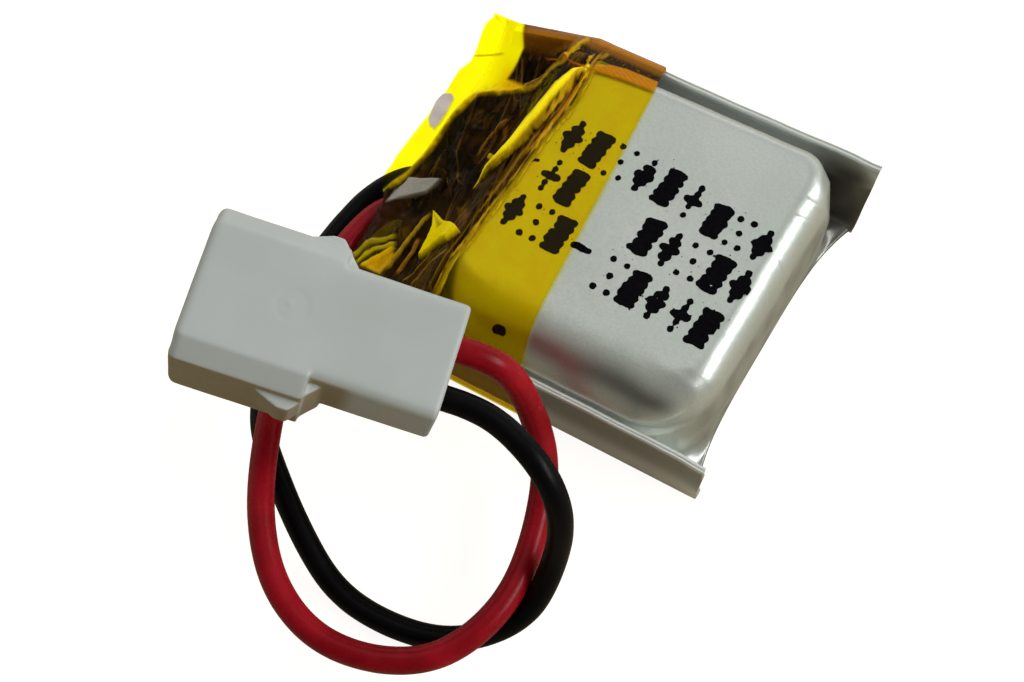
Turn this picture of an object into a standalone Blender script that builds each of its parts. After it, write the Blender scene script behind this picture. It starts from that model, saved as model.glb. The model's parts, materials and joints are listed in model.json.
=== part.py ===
"""Single-cell lithium polymer pack for small flying models.

A folded laminate pouch holds a flat-wound cell. A small protection board sits on the
pouch's top seal, under amber polyimide tape, and two insulated leads loop round to a
two-way plug. Millimetres in the constants, metres in the scene. The origin is the
centre of the pouch's flat back, +Z is up through the drawn cup and +X runs from the
terminal end to the folded end. "Near" is the -Y side and "far" the +Y side.
"""

import math

import bmesh
import bpy
import numpy as np
from mathutils import Matrix, Vector

MM = 0.001
X_AXIS, Y_AXIS, Z_AXIS = 0, 1, 2

# Pouch
LAMINATE = 0.11          # aluminium laminated film
CUP_X0, CUP_X1 = -4.95, 7.83
CUP_HALF_W = 6.53
CELL_T = 6.00            # over the drawn face
CUP_EDGE_R = 0.85
CUP_EDGE_Z = CELL_T - CUP_EDGE_R
CUP_EDGE_STEPS = 4
CUP_CORNER_R = 1.60
CUP_CORNER_STEPS = 4
CUP_END_TUCK = 0.50      # how far the folded end leans in at its foot
SEAL_Z = 0.13            # underside of the drawn half where it is sealed
CUP_WALL_LEVELS = (SEAL_Z, 1.6, 3.3)
TERRACE_X = -8.60
TERRACE_Z = 0.38
SHEET_GAP = 0.015
FOLD_X_MID = 7.30
FOLD_STEPS = 12

# Flanges, the sealed edges turned up along both sides
FLANGE_Y = 6.985
FLANGE_ROOT_Y = CUP_HALF_W - 0.06
FLANGE_NEAR_H = 4.38
FLANGE_FAR_H, FLANGE_FAR_LEAN = 4.45, 0.73
FLANGE_FAR_END_H = 3.95  # the far flange is pressed down and in at the terminal end
FLANGE_FAR_END_LEAN = 0.30
FLANGE_X0, FLANGE_BEND_X = -8.40, -4.50
FLANGE_STATIONS = (FLANGE_X0, -7.60, -6.80, -5.87, -5.07, FLANGE_BEND_X)
EAR_X_BASE, EAR_X_TIP = 8.12, 8.83
BACK_HALF_W = FLANGE_Y + SHEET_GAP + LAMINATE
BACK_RISE = 0.03         # the back's flanges stand this much above the front's
BACK_LIP_W, BACK_LIP_Z = 0.20, 0.05

# Press line in the back, beside the tape's edge
PRESS_LINE_D = 0.03
PRESS_LINE_W = 0.06
PRESS_LINE_OFF = 0.06
PRESS_LINE_OVERCUT = 0.02

# Wound core
CORE_X0, CORE_X1 = -4.25, 6.85
CORE_Z = 3.00
CORE_STRAIGHT = 3.45     # half the flat length of a turn
CORE_R0 = 0.45
CORE_PITCH = 0.46
CORE_TURNS = 4
FOIL_T = 0.16
SEPARATOR_T = 0.03
LAYER_GAP = 0.02
ARC_STEPS = 6
# Name, thickness, finish, how far each end stops short; from the inside out
CORE_LAYERS = (
    ("separator_inner", SEPARATOR_T, "separator", 0.0),
    ("anode_foil", FOIL_T, "graphite", 0.25),
    ("separator_outer", SEPARATOR_T, "separator", 0.0),
    ("cathode_foil", FOIL_T, "cathode", 0.35),
)
CLOSING_TAPE = (-3.6, 6.2, -2.2, 2.4)  # x0, x1, y0, y1

# Protection board
BOARD_X0, BOARD_X1 = -9.15, -6.10
BOARD_HALF_L = 5.40
BOARD_Z0, BOARD_T = 0.68, 0.45
BOARD_CORNER_R = 0.25
PART_Z = BOARD_Z0 + BOARD_T + 0.02     # underside of the parts on the board
STRIP_X0, STRIP_X1, STRIP_HALF_L = -8.5, -5.55, 5.9
STRIP_GAP = 0.03
PAD_X0, PAD_X1 = -9.0, -7.2
PAD_HALF_W = 0.95
PAD_T = 0.12
PAD_TOP = PART_Z + PAD_T
# Name, x, y, width along X, length along Y, height with legs
CHIPS = (
    ("protection_ic", -7.65, 1.90, 1.50, 2.30, 0.95),
    ("dual_mosfet", -6.92, -1.75, 0.80, 2.00, 0.70),
)
CHIP_LIFT, CHIP_EDGE_R = 0.08, 0.12
LEGS_PER_SIDE = 3
LEG_HALF_W = 0.15
# Distance out from the package side, height above the board
LEG_OUTLINE = (
    (-0.10, 0.36), (0.14, 0.36), (0.22, 0.00), (0.42, 0.00),
    (0.42, 0.12), (0.30, 0.12), (0.22, 0.48), (-0.10, 0.48),
)
# Name, x, finish
CHIP_PARTS = (("supply_resistor", -6.50, "chip"), ("filter_capacitor", -7.25, "ceramic"))
CHIP_PART_Y = 0.05
CHIP_PART_HALF_W, CHIP_PART_HALF_L, CHIP_PART_H = 0.26, 0.50, 0.36
CHIP_PART_EDGE_R = 0.05
RED_PAD_Y, BLACK_PAD_Y = -1.70, -0.20
SOLDER_X, SOLDER_R, SOLDER_H = -8.36, 0.52, 0.62
SOLDER_STEPS, SOLDER_SIDES = 3, 10
SOLDER_TOP_ANGLE = 80    # degrees; leaves a small flat on the dome

# Tabs
TAB_W = 1.80
TAB_T = 0.10
TAB_Z = 0.20             # underside of the tabs in the top seal
TAB_Y = 4.30
TAB_END_Z = PAD_TOP + 0.04 + TAB_T
# (x, z) of a tab's outer line: back over the board's pad, down round the board's end,
# in under the board along the seal and up to the roll's end
TAB_COURSE = (
    (-7.90, TAB_END_Z), (-9.12, TAB_END_Z), (-9.32, PAD_TOP - 0.08),
    (-9.32, TAB_Z + 0.15), (-9.10, TAB_Z), (-4.95, TAB_Z),
    (-4.60, 0.55), (-4.56, 2.75), (-4.42, 2.90),
)
TAB_FILM_X0, TAB_FILM_X1 = TERRACE_X - 0.25, CUP_X0 - 0.75
TAB_FILM_W = 2.80
TAB_FILM_RISE = 0.06     # from the tab's faces to the film's
FILM_SIDE_GAP, FILM_FACE_GAP = 0.03, 0.02

# Tape
TAPE_T = 0.07
TAPE_CLEAR = 0.035
WRAP_X0 = -9.60
WRAP_X1 = -0.17          # the tape's edge, on the pack's middle line
WRAP_SKEW = 0.08
WRAP_KINK_Y, WRAP_KINK_SKEW = 6.0, 0.25     # beyond here the edge slants more
WRAP_BEND_X = -4.10      # the tape starts down over the cup's edge
WRAP_FOOT_X = CUP_X0 - 0.12
WRAP_DROP, WRAP_DROP_RUN = 2.55, 0.80       # down to the board, just past the cup
WRAP_SAG_X, WRAP_SAG = -6.00, 0.20
WRAP_STATIONS = sorted({WRAP_X1, WRAP_BEND_X, -4.85, WRAP_X0, *FLANGE_STATIONS}, reverse=True)
WRAP_TOP_Y = (-5.95, -4.4, -2.2, 0.0, 2.2, 4.4, 5.95)
END_STRIP_X = -8.90
END_STRIP_GAP = TAPE_T * 1.6 + 0.05
# Y of each column of the end strip, x its free edge reaches
END_STRIP = (
    (-5.2, -9.85), (-3.4, -10.10), (-1.6, -10.45), (0.2, -10.30), (2.0, -10.10),
    (3.8, -10.05), (5.4, -10.10), (6.4, -10.00), (7.3, -9.90),
)

# Leads
LEAD_R = 0.55
LEAD_BORE_R = 0.23
STRAND_R = 0.19
LEAD_SIDES = 8
STRAND_SIDES = 6
COURSE_STEPS = 10        # points per span of a smoothed course
TAIL_STEP = 0.40
RING_STEP = 1.05
FLEX_GAP = 0.45          # half the clearance left at each flexing point
LEAD_X0, LEAD_Z = -8.95, 1.50
SWING_PIVOT = Vector((-10.20, -1.75, 1.40))
LOOP_PIVOT = Vector((0.50, -18.45, 1.25))

# Course of each lead from the board to the plug
RED_COURSE = (
    (-9.45, -1.80, 1.50), (-10.00, -2.55, 1.55), (-10.30, -4.30, 1.75),
    (-10.10, -6.90, 2.20), (-9.40, -9.50, 2.80), (-8.50, -12.00, 3.30),
    (-7.20, -14.70, 3.60), (-6.00, -16.70, 3.60), (-4.20, -18.70, 3.10),
    (-1.80, -19.70, 2.50), (0.70, -19.30, 1.90), (2.90, -17.90, 1.80),
    (4.10, -15.10, 1.90), (4.05, -12.90, 1.85), (3.30, -10.40, 2.30),
    (2.30, -8.70, 4.20), (1.30, -8.00, 6.60),
)
BLACK_COURSE = (
    (-9.55, -0.25, 1.50), (-10.40, -0.95, 1.30), (-11.15, -2.40, 1.05),
    (-11.50, -5.40, 1.00), (-11.10, -7.90, 1.30), (-10.10, -10.90, 1.60),
    (-8.90, -13.20, 2.00), (-6.95, -14.80, 2.15), (-4.85, -16.30, 1.60),
    (-2.50, -17.50, 0.80), (0.30, -17.60, 0.62), (2.90, -16.80, 0.62),
    (4.90, -14.60, 0.95), (5.40, -12.70, 2.70), (5.50, -11.70, 5.40),
    (4.90, -11.00, 7.50), (2.50, -10.30, 8.60),
)
# Colour, course, y of its pad, side of the plug
LEADS = (
    ("red", RED_COURSE, RED_PAD_Y, 1),
    ("black", BLACK_COURSE, BLACK_PAD_Y, -1),
)

# Plug. Its own frame has +X towards the leads, +Y across and +Z up, and its origin
# where the leads bend.
PLUG_TURN = (
    Matrix.Rotation(math.radians(15.5), 3, "Z")
    @ Matrix.Rotation(math.radians(19.0), 3, "Y")
    @ Matrix.Rotation(math.radians(2.0), 3, "X")
)
PLUG_REAR_TOP = Vector((-0.04, -9.37, 10.08))    # in the pack's frame
PITCH = 2.00
PLUG_L = 9.80
PLUG_REAR_W, PLUG_REAR_T = 4.70, 3.20
PLUG_FRONT_W, PLUG_FRONT_T, PLUG_FRONT_L = 6.20, 4.15, 4.90
PLUG_BEVEL = 0.80        # along the shroud's upper edges
PLUG_LOW_BEVEL = 0.30
PLUG_EDGE_R = 0.30
PLUG_EDGE_STEPS = 3
PLUG_OVERLAP = 0.50
WIRE_OUT = 1.20          # the leads bend this far behind the plug
WIRE_RUN_IN, WIRE_RUN_OUT = 0.5, 0.4             # straight course either side of the bend
PLUG_PIVOT = PLUG_REAR_TOP - PLUG_TURN.col[2] * (PLUG_REAR_T / 2) + PLUG_TURN.col[0] * WIRE_OUT
PLUG_REAR_X = -WIRE_OUT
PLUG_FRONT_X = PLUG_REAR_X - PLUG_L
PLUG_STEP_X = PLUG_FRONT_X + PLUG_FRONT_L
PLUG_TOP = PLUG_REAR_T / 2
LATCH_L, LATCH_H = 1.90, 0.45
# Distance along X from the housing's step, distance out from the shroud's side
LATCH_OUTLINE = (
    (-LATCH_L, -0.2), (-LATCH_L, 0.0), (-0.75, LATCH_H), (-0.35, LATCH_H), (0.0, 0.0), (0.0, -0.2),
)
LATCH_Z0, LATCH_Z1 = PLUG_TOP - 2.6, PLUG_TOP - 0.95
CAVITY_W, CAVITY_H = 1.50, 1.70
PLUG_LEAD_X = (-FLEX_GAP, -1.6, -2.9)

# Crimp contacts, in the plug's frame
SOCKET_X0, SOCKET_X1 = PLUG_FRONT_X + 0.7, PLUG_FRONT_X + 4.2
SOCKET_DEPTH = 2.8
SOCKET_HALF_W, SOCKET_Z0, SOCKET_Z1 = 0.62, -0.68, 0.62
BORE_HALF_W, BORE_Z0, BORE_Z1 = 0.36, -0.40, 0.36
NECK_X0, NECK_X1 = SOCKET_X1 - 0.2, -3.3
NECK_HALF_W, NECK_Z0, NECK_Z1 = 0.28, -0.66, -0.30
BARREL_X0, BARREL_X1 = -4.6, -2.95
BARREL_Z, BARREL_HALF_W, BARREL_HALF_H = -0.18, 0.34, 0.42
BARREL_SIDES = 8

# Base colour, roughness, metallic
FINISHES = {
    "laminate": ((0.62, 0.64, 0.62), 0.33, 0.9),
    "graphite": ((0.03, 0.03, 0.035), 0.8, 0.0),
    "cathode": ((0.05, 0.05, 0.06), 0.7, 0.1),
    "separator": ((0.85, 0.86, 0.85), 0.5, 0.0),
    "green_tape": ((0.10, 0.42, 0.22), 0.4, 0.0),
    "aluminium": ((0.78, 0.79, 0.80), 0.3, 1.0),
    "nickel": ((0.66, 0.64, 0.60), 0.3, 1.0),
    "film": ((0.9, 0.9, 0.86), 0.5, 0.0),
    "board": ((0.02, 0.12, 0.05), 0.45, 0.0),
    "chip": ((0.02, 0.02, 0.022), 0.5, 0.0),
    "ceramic": ((0.45, 0.30, 0.18), 0.5, 0.0),
    "solder": ((0.62, 0.63, 0.64), 0.25, 1.0),
    "paper": ((0.20, 0.26, 0.22), 0.8, 0.0),
    "polyimide": ((0.62, 0.42, 0.03), 0.2, 0.0),
    "red": ((0.34, 0.012, 0.02), 0.35, 0.0),
    "black": ((0.008, 0.008, 0.009), 0.4, 0.0),
    "tinned": ((0.7, 0.68, 0.64), 0.35, 1.0),
    "nylon": ((0.76, 0.78, 0.75), 0.45, 0.0),
}


# ---------------------------------------------------------------- scene

def clear_scene():
    for obj in list(bpy.data.objects):
        bpy.data.objects.remove(obj, do_unlink=True)


def finish(name):
    material = bpy.data.materials.get(name)
    if material is None:
        color, roughness, metallic = FINISHES[name]
        material = bpy.data.materials.new(name)
        material.use_nodes = True
        node = material.node_tree.nodes["Principled BSDF"]
        node.inputs["Base Color"].default_value = (*color, 1.0)
        node.inputs["Roughness"].default_value = roughness
        node.inputs["Metallic"].default_value = metallic
    return material


def add_piece(name, shape, look=None, parent=None, smooth=None):
    """An object from (points, faces) in mm, in its parent's frame; no look makes a helper."""
    points, faces = shape
    bm = bmesh.new()
    made = [bm.verts.new([c * MM for c in point]) for point in points]
    for face in faces:
        bm.faces.new([made[i] for i in face])
    bmesh.ops.recalc_face_normals(bm, faces=bm.faces[:])
    mesh = bpy.data.meshes.new(name)
    bm.to_mesh(mesh)
    bm.free()
    if smooth is not None:
        mesh.shade_smooth()
        mesh.set_sharp_from_angle(angle=math.radians(smooth))
    obj = bpy.data.objects.new(name, mesh)
    bpy.context.scene.collection.objects.link(obj)
    obj.parent = parent
    if look:
        mesh.materials.append(finish(look))
    else:
        obj.hide_render = True
        obj.display_type = "WIRE"
    return obj


def combine(obj, name, shape, operation="UNION"):
    """Join a helper solid to a piece, or cut it away, in the piece's own frame."""
    modifier = obj.modifiers.new(name, "BOOLEAN")
    modifier.operation = operation
    modifier.solver = "EXACT"
    modifier.object = add_piece(name, shape, parent=obj.parent)


# ---------------------------------------------------------------- shapes

def loft(rings, closed=False):
    """Faces through equal rings, capped at both ends unless the rings form a loop."""
    count = len(rings[0])
    points = [p for ring in rings for p in ring]
    faces = []
    spans = len(rings) if closed else len(rings) - 1
    for k in range(spans):
        a, b = k * count, ((k + 1) % len(rings)) * count
        for i in range(count):
            j = (i + 1) % count
            faces.append((a + i, a + j, b + j, b + i))
    if not closed:
        faces.append(tuple(range(count))[::-1])
        last = (len(rings) - 1) * count
        faces.append(tuple(range(last, last + count)))
    return points, faces


def section(outline, axis, place):
    """A flat outline set square to an axis at one place on it."""
    return [p[:axis] + (place,) + p[axis:] for p in outline]


def prism(outline, axis, start, end):
    return loft([section(outline, axis, place) for place in (start, end)])


def rect(x0, x1, y0, y1):
    return [(x0, y0), (x1, y0), (x1, y1), (x0, y1)]


def box(x0, x1, y0, y1, z0, z1):
    return prism(rect(x0, x1, y0, y1), Z_AXIS, z0, z1)


def rounded_rect(x0, x1, y0, y1, radius, steps):
    centres = rect(x0 + radius, x1 - radius, y0 + radius, y1 - radius)
    points = []
    for corner, start in ((2, 0), (3, 90), (0, 180), (1, 270)):
        x, y = centres[corner]
        for k in range(steps + 1):
            a = math.radians(start + 90 * k / steps)
            points.append((x + radius * math.cos(a), y + radius * math.sin(a)))
    return points


def soft_box(x0, x1, y0, y1, z0, z1, radius):
    """A box with its upright and upper edges bevelled."""
    rim = radius * 0.6
    rings = []
    for z, inset in ((z0, 0.0), (z1 - rim, 0.0), (z1, rim)):
        outline = rounded_rect(
            x0 + inset, x1 - inset, y0 + inset, y1 - inset, radius - inset, steps=1)
        rings.append(section(outline, Z_AXIS, z))
    return loft(rings)


def circle_angles(sides):
    return [2 * math.pi * k / sides for k in range(sides)]


def clamp(value):
    return min(1.0, max(0.0, value))


def shift_left(outline, distance, closed=False):
    """A flat line moved to the left of its own direction, with mitred corners."""
    points = [Vector(p) for p in outline]
    leaving = [(b - a).normalized() for a, b in zip(points, points[1:] + points[:1])]
    arriving = leaving[-1:] + leaving[:-1]
    if not closed:
        leaving[-1] = leaving[-2]
        arriving[0] = leaving[0]
    shifted = []
    for point, before, after in zip(points, arriving, leaving):
        left_before, left_after = (Vector((-d.y, d.x)) for d in (before, after))
        normal = (left_before + left_after).normalized()
        mitre = distance / max(0.5, normal.dot(left_before))
        shifted.append(tuple(point + normal * mitre))
    return shifted


# ---------------------------------------------------------------- pouch

def far_crest(x):
    """(lean, height) of the far flange at one station."""
    run = clamp((FLANGE_BEND_X - x) / (FLANGE_BEND_X - FLANGE_X0))
    return (FLANGE_FAR_LEAN + (FLANGE_FAR_END_LEAN - FLANGE_FAR_LEAN) * run,
            FLANGE_FAR_H + (FLANGE_FAR_END_H - FLANGE_FAR_H) * run)


def ear_section(outline):
    """A flange's slanting end at the fold."""
    slant = (EAR_X_TIP - EAR_X_BASE) / FLANGE_FAR_H
    return [(EAR_X_BASE + slant * z, y, z) for y, z in outline]


def near_flange(outline):
    return loft([section(outline, X_AXIS, FLANGE_X0), ear_section(outline)])


def far_flange(outline_for):
    """The far flange from its outline, a function of its lean and height."""
    rings = [section(outline_for(*far_crest(x)), X_AXIS, x) for x in FLANGE_STATIONS]
    rings.append(ear_section(outline_for(FLANGE_FAR_LEAN, FLANGE_FAR_H)))
    return loft(rings)


def cup_rings(inset):
    """Rings up the cup's wall and over its edge; inset 0 is the outside."""
    half_w = CUP_HALF_W - inset
    edge_r = CUP_EDGE_R - inset
    levels = [(z, 0.0) for z in CUP_WALL_LEVELS]
    for k in range(CUP_EDGE_STEPS + 1):
        a = math.radians(90 * k / CUP_EDGE_STEPS)
        z = CELL_T - inset - edge_r + edge_r * math.sin(a)
        levels.append((z, edge_r * (1 - math.cos(a))))
    rings = []
    for z, pull in levels:
        rise = min(1.0, z / CUP_EDGE_Z)
        x1 = CUP_X1 - inset - CUP_END_TUCK * (1 - rise) ** 2
        outline = rounded_rect(
            CUP_X0 + inset + pull, x1 - pull, -half_w + pull, half_w - pull,
            CUP_CORNER_R - inset - pull, CUP_CORNER_STEPS)
        rings.append(section(outline, Z_AXIS, z))
    return rings


def add_pouch_front():
    """The drawn half: cup, upturned flanges and the terrace under the board."""
    root, side, foot = FLANGE_ROOT_Y, FLANGE_Y, SEAL_Z
    upper = foot + LAMINATE
    near = [
        (-root, foot), (-side, foot), (-side, FLANGE_NEAR_H),
        (-side + LAMINATE, FLANGE_NEAR_H), (-side + LAMINATE, upper), (-root, upper),
    ]

    def far(lean, height):
        return [
            (root, foot), (side, foot), (side + lean, height),
            (side + lean - LAMINATE, height + 0.01), (side - LAMINATE, upper), (root, upper),
        ]

    terrace = box(TERRACE_X, CUP_X0 + 0.05, -side + 0.05, side + 0.02,
                  TERRACE_Z, TERRACE_Z + LAMINATE)
    passage_half_w = CUP_HALF_W - 0.3
    passage = box(CUP_X0 - 0.2, CUP_X0 + 0.3, -passage_half_w, passage_half_w, 0.0, TERRACE_Z)
    rings = cup_rings(0)[::-1] + cup_rings(LAMINATE)
    front = add_piece("pouch_front", loft(rings), "laminate", smooth=40)
    combine(front, "front_seal_near", near_flange(near))
    combine(front, "front_seal_far", far_flange(far))
    combine(front, "front_terrace", terrace)
    combine(front, "tab_passage", passage, "DIFFERENCE")


def press_line():
    """A three-sided groove cutter that follows the tape's edge."""
    half_w = PRESS_LINE_W / 2 + PRESS_LINE_OVERCUT
    rings = []
    for y in (-8.0, WRAP_KINK_Y, 9.0):
        x = tape_edge(y) + PRESS_LINE_OFF
        triangle = [(x - half_w, -PRESS_LINE_OVERCUT), (x + half_w, -PRESS_LINE_OVERCUT),
                    (x, PRESS_LINE_D)]
        rings.append(section(triangle, Y_AXIS, y))
    return loft(rings)


def add_pouch_back():
    """The flat half, with its bowed fold and its flanges outside the front's."""
    side = BACK_HALF_W
    outline = [(TERRACE_X, -side)]
    for k in range(FOLD_STEPS + 1):
        across = -1 + 2 * k / FOLD_STEPS
        fold_x = FOLD_X_MID + (EAR_X_BASE - FOLD_X_MID) * abs(across) ** 4
        outline.append((fold_x, side * across))
    outline.append((TERRACE_X, side))

    foot = PRESS_LINE_D + 0.01
    lip = side - BACK_LIP_W
    near_top = FLANGE_NEAR_H + BACK_RISE
    near = [
        (-side, foot), (-side, near_top), (-side + LAMINATE, near_top),
        (-side + LAMINATE, BACK_LIP_Z), (-lip, BACK_LIP_Z), (-lip, foot),
    ]

    def far(lean, height):
        return [
            (side, foot), (side + lean, height + BACK_RISE),
            (side + lean - LAMINATE, height + BACK_RISE + 0.01),
            (side - LAMINATE, 0.08), (lip, BACK_LIP_Z), (lip, foot),
        ]

    back = add_piece("pouch_back", prism(outline, Z_AXIS, 0.0, LAMINATE), "laminate")
    combine(back, "press_line", press_line(), "DIFFERENCE")
    combine(back, "back_seal_near", near_flange(near))
    combine(back, "back_seal_far", far_flange(far))


# ---------------------------------------------------------------- wound core

def winding(offset):
    """Points of a flat spiral in (y, z), from the middle out."""
    points = []
    for half in range(2 * CORE_TURNS):
        side = 1 if half % 2 == 0 else -1
        for k in range(ARC_STEPS + 1):
            a = math.pi * k / ARC_STEPS
            radius = CORE_R0 + offset + CORE_PITCH * (half + k / ARC_STEPS) / 2
            points.append((side * (CORE_STRAIGHT + radius * math.sin(a)),
                           CORE_Z + side * radius * math.cos(a)))
    return points


def add_core():
    offset = 0.0
    for name, thick, look, inset in CORE_LAYERS:
        outline = winding(offset) + winding(offset + thick)[::-1]
        add_piece(name, prism(outline, X_AXIS, CORE_X0 + inset, CORE_X1 - inset), look)
        offset += thick + LAYER_GAP
    top = CORE_Z + CORE_R0 + CORE_PITCH * CORE_TURNS + offset - LAYER_GAP
    add_piece("roll_closing_tape", box(*CLOSING_TAPE, top + 0.01, top + 0.06), "green_tape")


# ---------------------------------------------------------------- tabs

def tab_film(y):
    """A flat sleeve round a tab where it passes through the seal."""
    tab_top = TAB_Z + TAB_T
    hole_half_w = TAB_W / 2 + FILM_SIDE_GAP
    outer = rect(y - TAB_FILM_W / 2, y + TAB_FILM_W / 2,
                 TAB_Z - TAB_FILM_RISE, tab_top + TAB_FILM_RISE)
    hole = rect(y - hole_half_w, y + hole_half_w, TAB_Z - FILM_FACE_GAP, tab_top + FILM_FACE_GAP)
    ends = ((outer, TAB_FILM_X0), (outer, TAB_FILM_X1), (hole, TAB_FILM_X1), (hole, TAB_FILM_X0))
    return loft([section(outline, X_AXIS, x) for outline, x in ends], closed=True)


def add_tabs():
    outline = list(TAB_COURSE) + shift_left(TAB_COURSE, TAB_T)[::-1]
    for pole, side, look in (("positive", 1, "aluminium"), ("negative", -1, "nickel")):
        y = side * TAB_Y
        add_piece(f"{pole}_tab", prism(outline, Y_AXIS, y - TAB_W / 2, y + TAB_W / 2), look)
        add_piece(f"{pole}_tab_film", tab_film(y), "film")
        pad = box(PAD_X0, PAD_X1, y - PAD_HALF_W, y + PAD_HALF_W, PART_Z, PAD_TOP)
        add_piece(f"{pole}_weld_pad", pad, "nickel")


# ---------------------------------------------------------------- protection board

def add_chip(name, x, y, width, length, height):
    """A moulded package with bent legs along both long sides."""
    body = soft_box(x - width / 2, x + width / 2, y - length / 2, y + length / 2,
                    PART_Z + CHIP_LIFT, PART_Z + height, CHIP_EDGE_R)
    chip = add_piece(name, body, "chip")
    for side in (-1, 1):
        outline = [(x + side * (width / 2 + out), PART_Z + up) for out, up in LEG_OUTLINE]
        for k in range(LEGS_PER_SIDE):
            leg_y = y + (k - (LEGS_PER_SIDE - 1) / 2) * length / LEGS_PER_SIDE
            leg = prism(outline, Y_AXIS, leg_y - LEG_HALF_W, leg_y + LEG_HALF_W)
            combine(chip, f"{name}_leg_{side}_{k}", leg)


def add_chip_part(name, x, look):
    body = soft_box(x - CHIP_PART_HALF_W, x + CHIP_PART_HALF_W,
                    CHIP_PART_Y - CHIP_PART_HALF_L, CHIP_PART_Y + CHIP_PART_HALF_L,
                    PART_Z, PART_Z + CHIP_PART_H, CHIP_PART_EDGE_R)
    add_piece(name, body, look)


def add_solder(name, y):
    """A dome on the board's edge pad, up to the start of its lead."""
    rings = []
    for k in range(SOLDER_STEPS + 1):
        a = math.radians(SOLDER_TOP_ANGLE * k / SOLDER_STEPS)
        radius = SOLDER_R * math.cos(a)
        z = PART_Z + SOLDER_H * math.sin(a)
        rings.append([(SOLDER_X + radius * math.cos(t), y + radius * math.sin(t), z)
                      for t in circle_angles(SOLDER_SIDES)])
    add_piece(name, loft(rings), "solder", smooth=60)


def add_board():
    board = soft_box(BOARD_X0, BOARD_X1, -BOARD_HALF_L, BOARD_HALF_L,
                     BOARD_Z0, BOARD_Z0 + BOARD_T, BOARD_CORNER_R)
    add_piece("protection_board", board, "board")
    strip = box(STRIP_X0, STRIP_X1, -STRIP_HALF_L, STRIP_HALF_L,
                TERRACE_Z + LAMINATE + STRIP_GAP, BOARD_Z0 - STRIP_GAP)
    add_piece("board_insulating_strip", strip, "paper")
    for chip in CHIPS:
        add_chip(*chip)
    for part in CHIP_PARTS:
        add_chip_part(*part)
    add_solder("red_solder_joint", RED_PAD_Y)
    add_solder("black_solder_joint", BLACK_PAD_Y)


# ---------------------------------------------------------------- tape

def tape_edge(y):
    """Where the tape ends along the pack, across its width."""
    return WRAP_X1 - WRAP_SKEW * y - WRAP_KINK_SKEW * max(0.0, y - WRAP_KINK_Y)


def wrap_top(x):
    """Height of the tape's inner face over the middle of the pack."""
    if x >= WRAP_BEND_X:
        return CELL_T + TAPE_CLEAR
    if x > WRAP_FOOT_X:
        run = min(1.0, (WRAP_BEND_X - x) / (WRAP_BEND_X - WRAP_FOOT_X))
        return CUP_EDGE_Z + TAPE_CLEAR + CUP_EDGE_R * math.sqrt(1 - run * run)
    drop = WRAP_DROP * min(1.0, (WRAP_FOOT_X - x) / WRAP_DROP_RUN)
    sag = WRAP_SAG * max(0.0, (WRAP_SAG_X - x) / (WRAP_SAG_X - WRAP_X0))
    return CUP_EDGE_Z - drop - sag


def wrap_section(x):
    """(over, under): (y, z) of the tape's inner line at one station.

    Over runs from the near foot up and across to the far crest; under comes back
    along the pouch's flat back.
    """
    top = wrap_top(x)
    shoulder = top + 0.25 if top < 5.2 else min(5.80, top)
    low = -TAPE_CLEAR
    side = BACK_HALF_W + TAPE_CLEAR + 0.01
    fall = max(0.0, (FLANGE_X0 - x) / (FLANGE_X0 - WRAP_X0))
    near_h = FLANGE_NEAR_H + 0.09 - 1.6 * fall
    lean, height = far_crest(x)
    far_h = height + 0.12 - 0.7 * fall
    far_y = side + lean + 0.02
    over = [(-side, low), (-side, near_h), (-6.80, near_h), (-6.45, shoulder)]
    over += [(y, top) for y in WRAP_TOP_Y]
    over += [(6.45, shoulder), (far_y - 0.42, far_h), (far_y, far_h)]
    return over, [(side, low), (3.5, low), (-3.5, low)]


def add_tape_wrap():
    inner, outer = [], []
    for x in WRAP_STATIONS:
        over, under = wrap_section(x)
        line = over + under
        for rings, outline in ((inner, line), (outer, shift_left(line, TAPE_T, closed=True))):
            rings.append([(tape_edge(y) if x == WRAP_X1 else x, y, z) for y, z in outline])
    add_piece("tape_wrap", loft(outer + inner[::-1], closed=True), "polyimide", smooth=30)


def end_strip_height(x, y):
    over, _ = wrap_section(max(x, WRAP_X0))
    across, heights = zip(*over[1:])
    return float(np.interp(y, across, heights)) + END_STRIP_GAP


def add_tape_end_strip():
    """A second strip laid over the open end and carried out into a free tail."""
    points = []
    for rise in (0.0, TAPE_T):
        for fraction in (0.0, 0.5, 1.0):
            for y, reach in END_STRIP:
                x = END_STRIP_X + (reach - END_STRIP_X) * fraction
                points.append((x, y, end_strip_height(x, y) + rise))

    # Rows 0 to 2 are the underside and 3 to 5 the upper side.
    width = len(END_STRIP)

    def at(row, column):
        return row * width + column

    spans = range(width - 1)
    faces = [(at(r, c), at(r, c + 1), at(r + 1, c + 1), at(r + 1, c))
             for r in (0, 1, 3, 4) for c in spans]
    faces += [(at(r, c), at(r + 1, c), at(r + 4, c), at(r + 3, c))
              for r in (0, 1) for c in (0, width - 1)]
    faces += [(at(r, c), at(r, c + 1), at(r + 3, c + 1), at(r + 3, c))
              for r in (0, 2) for c in spans]
    add_piece("tape_end_strip", (points, faces), "polyimide")


# ---------------------------------------------------------------- leads

def blend(start, end, time0, time1, time):
    span = time1 - time0
    return start * ((time1 - time) / span) + end * ((time - time0) / span)


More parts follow.
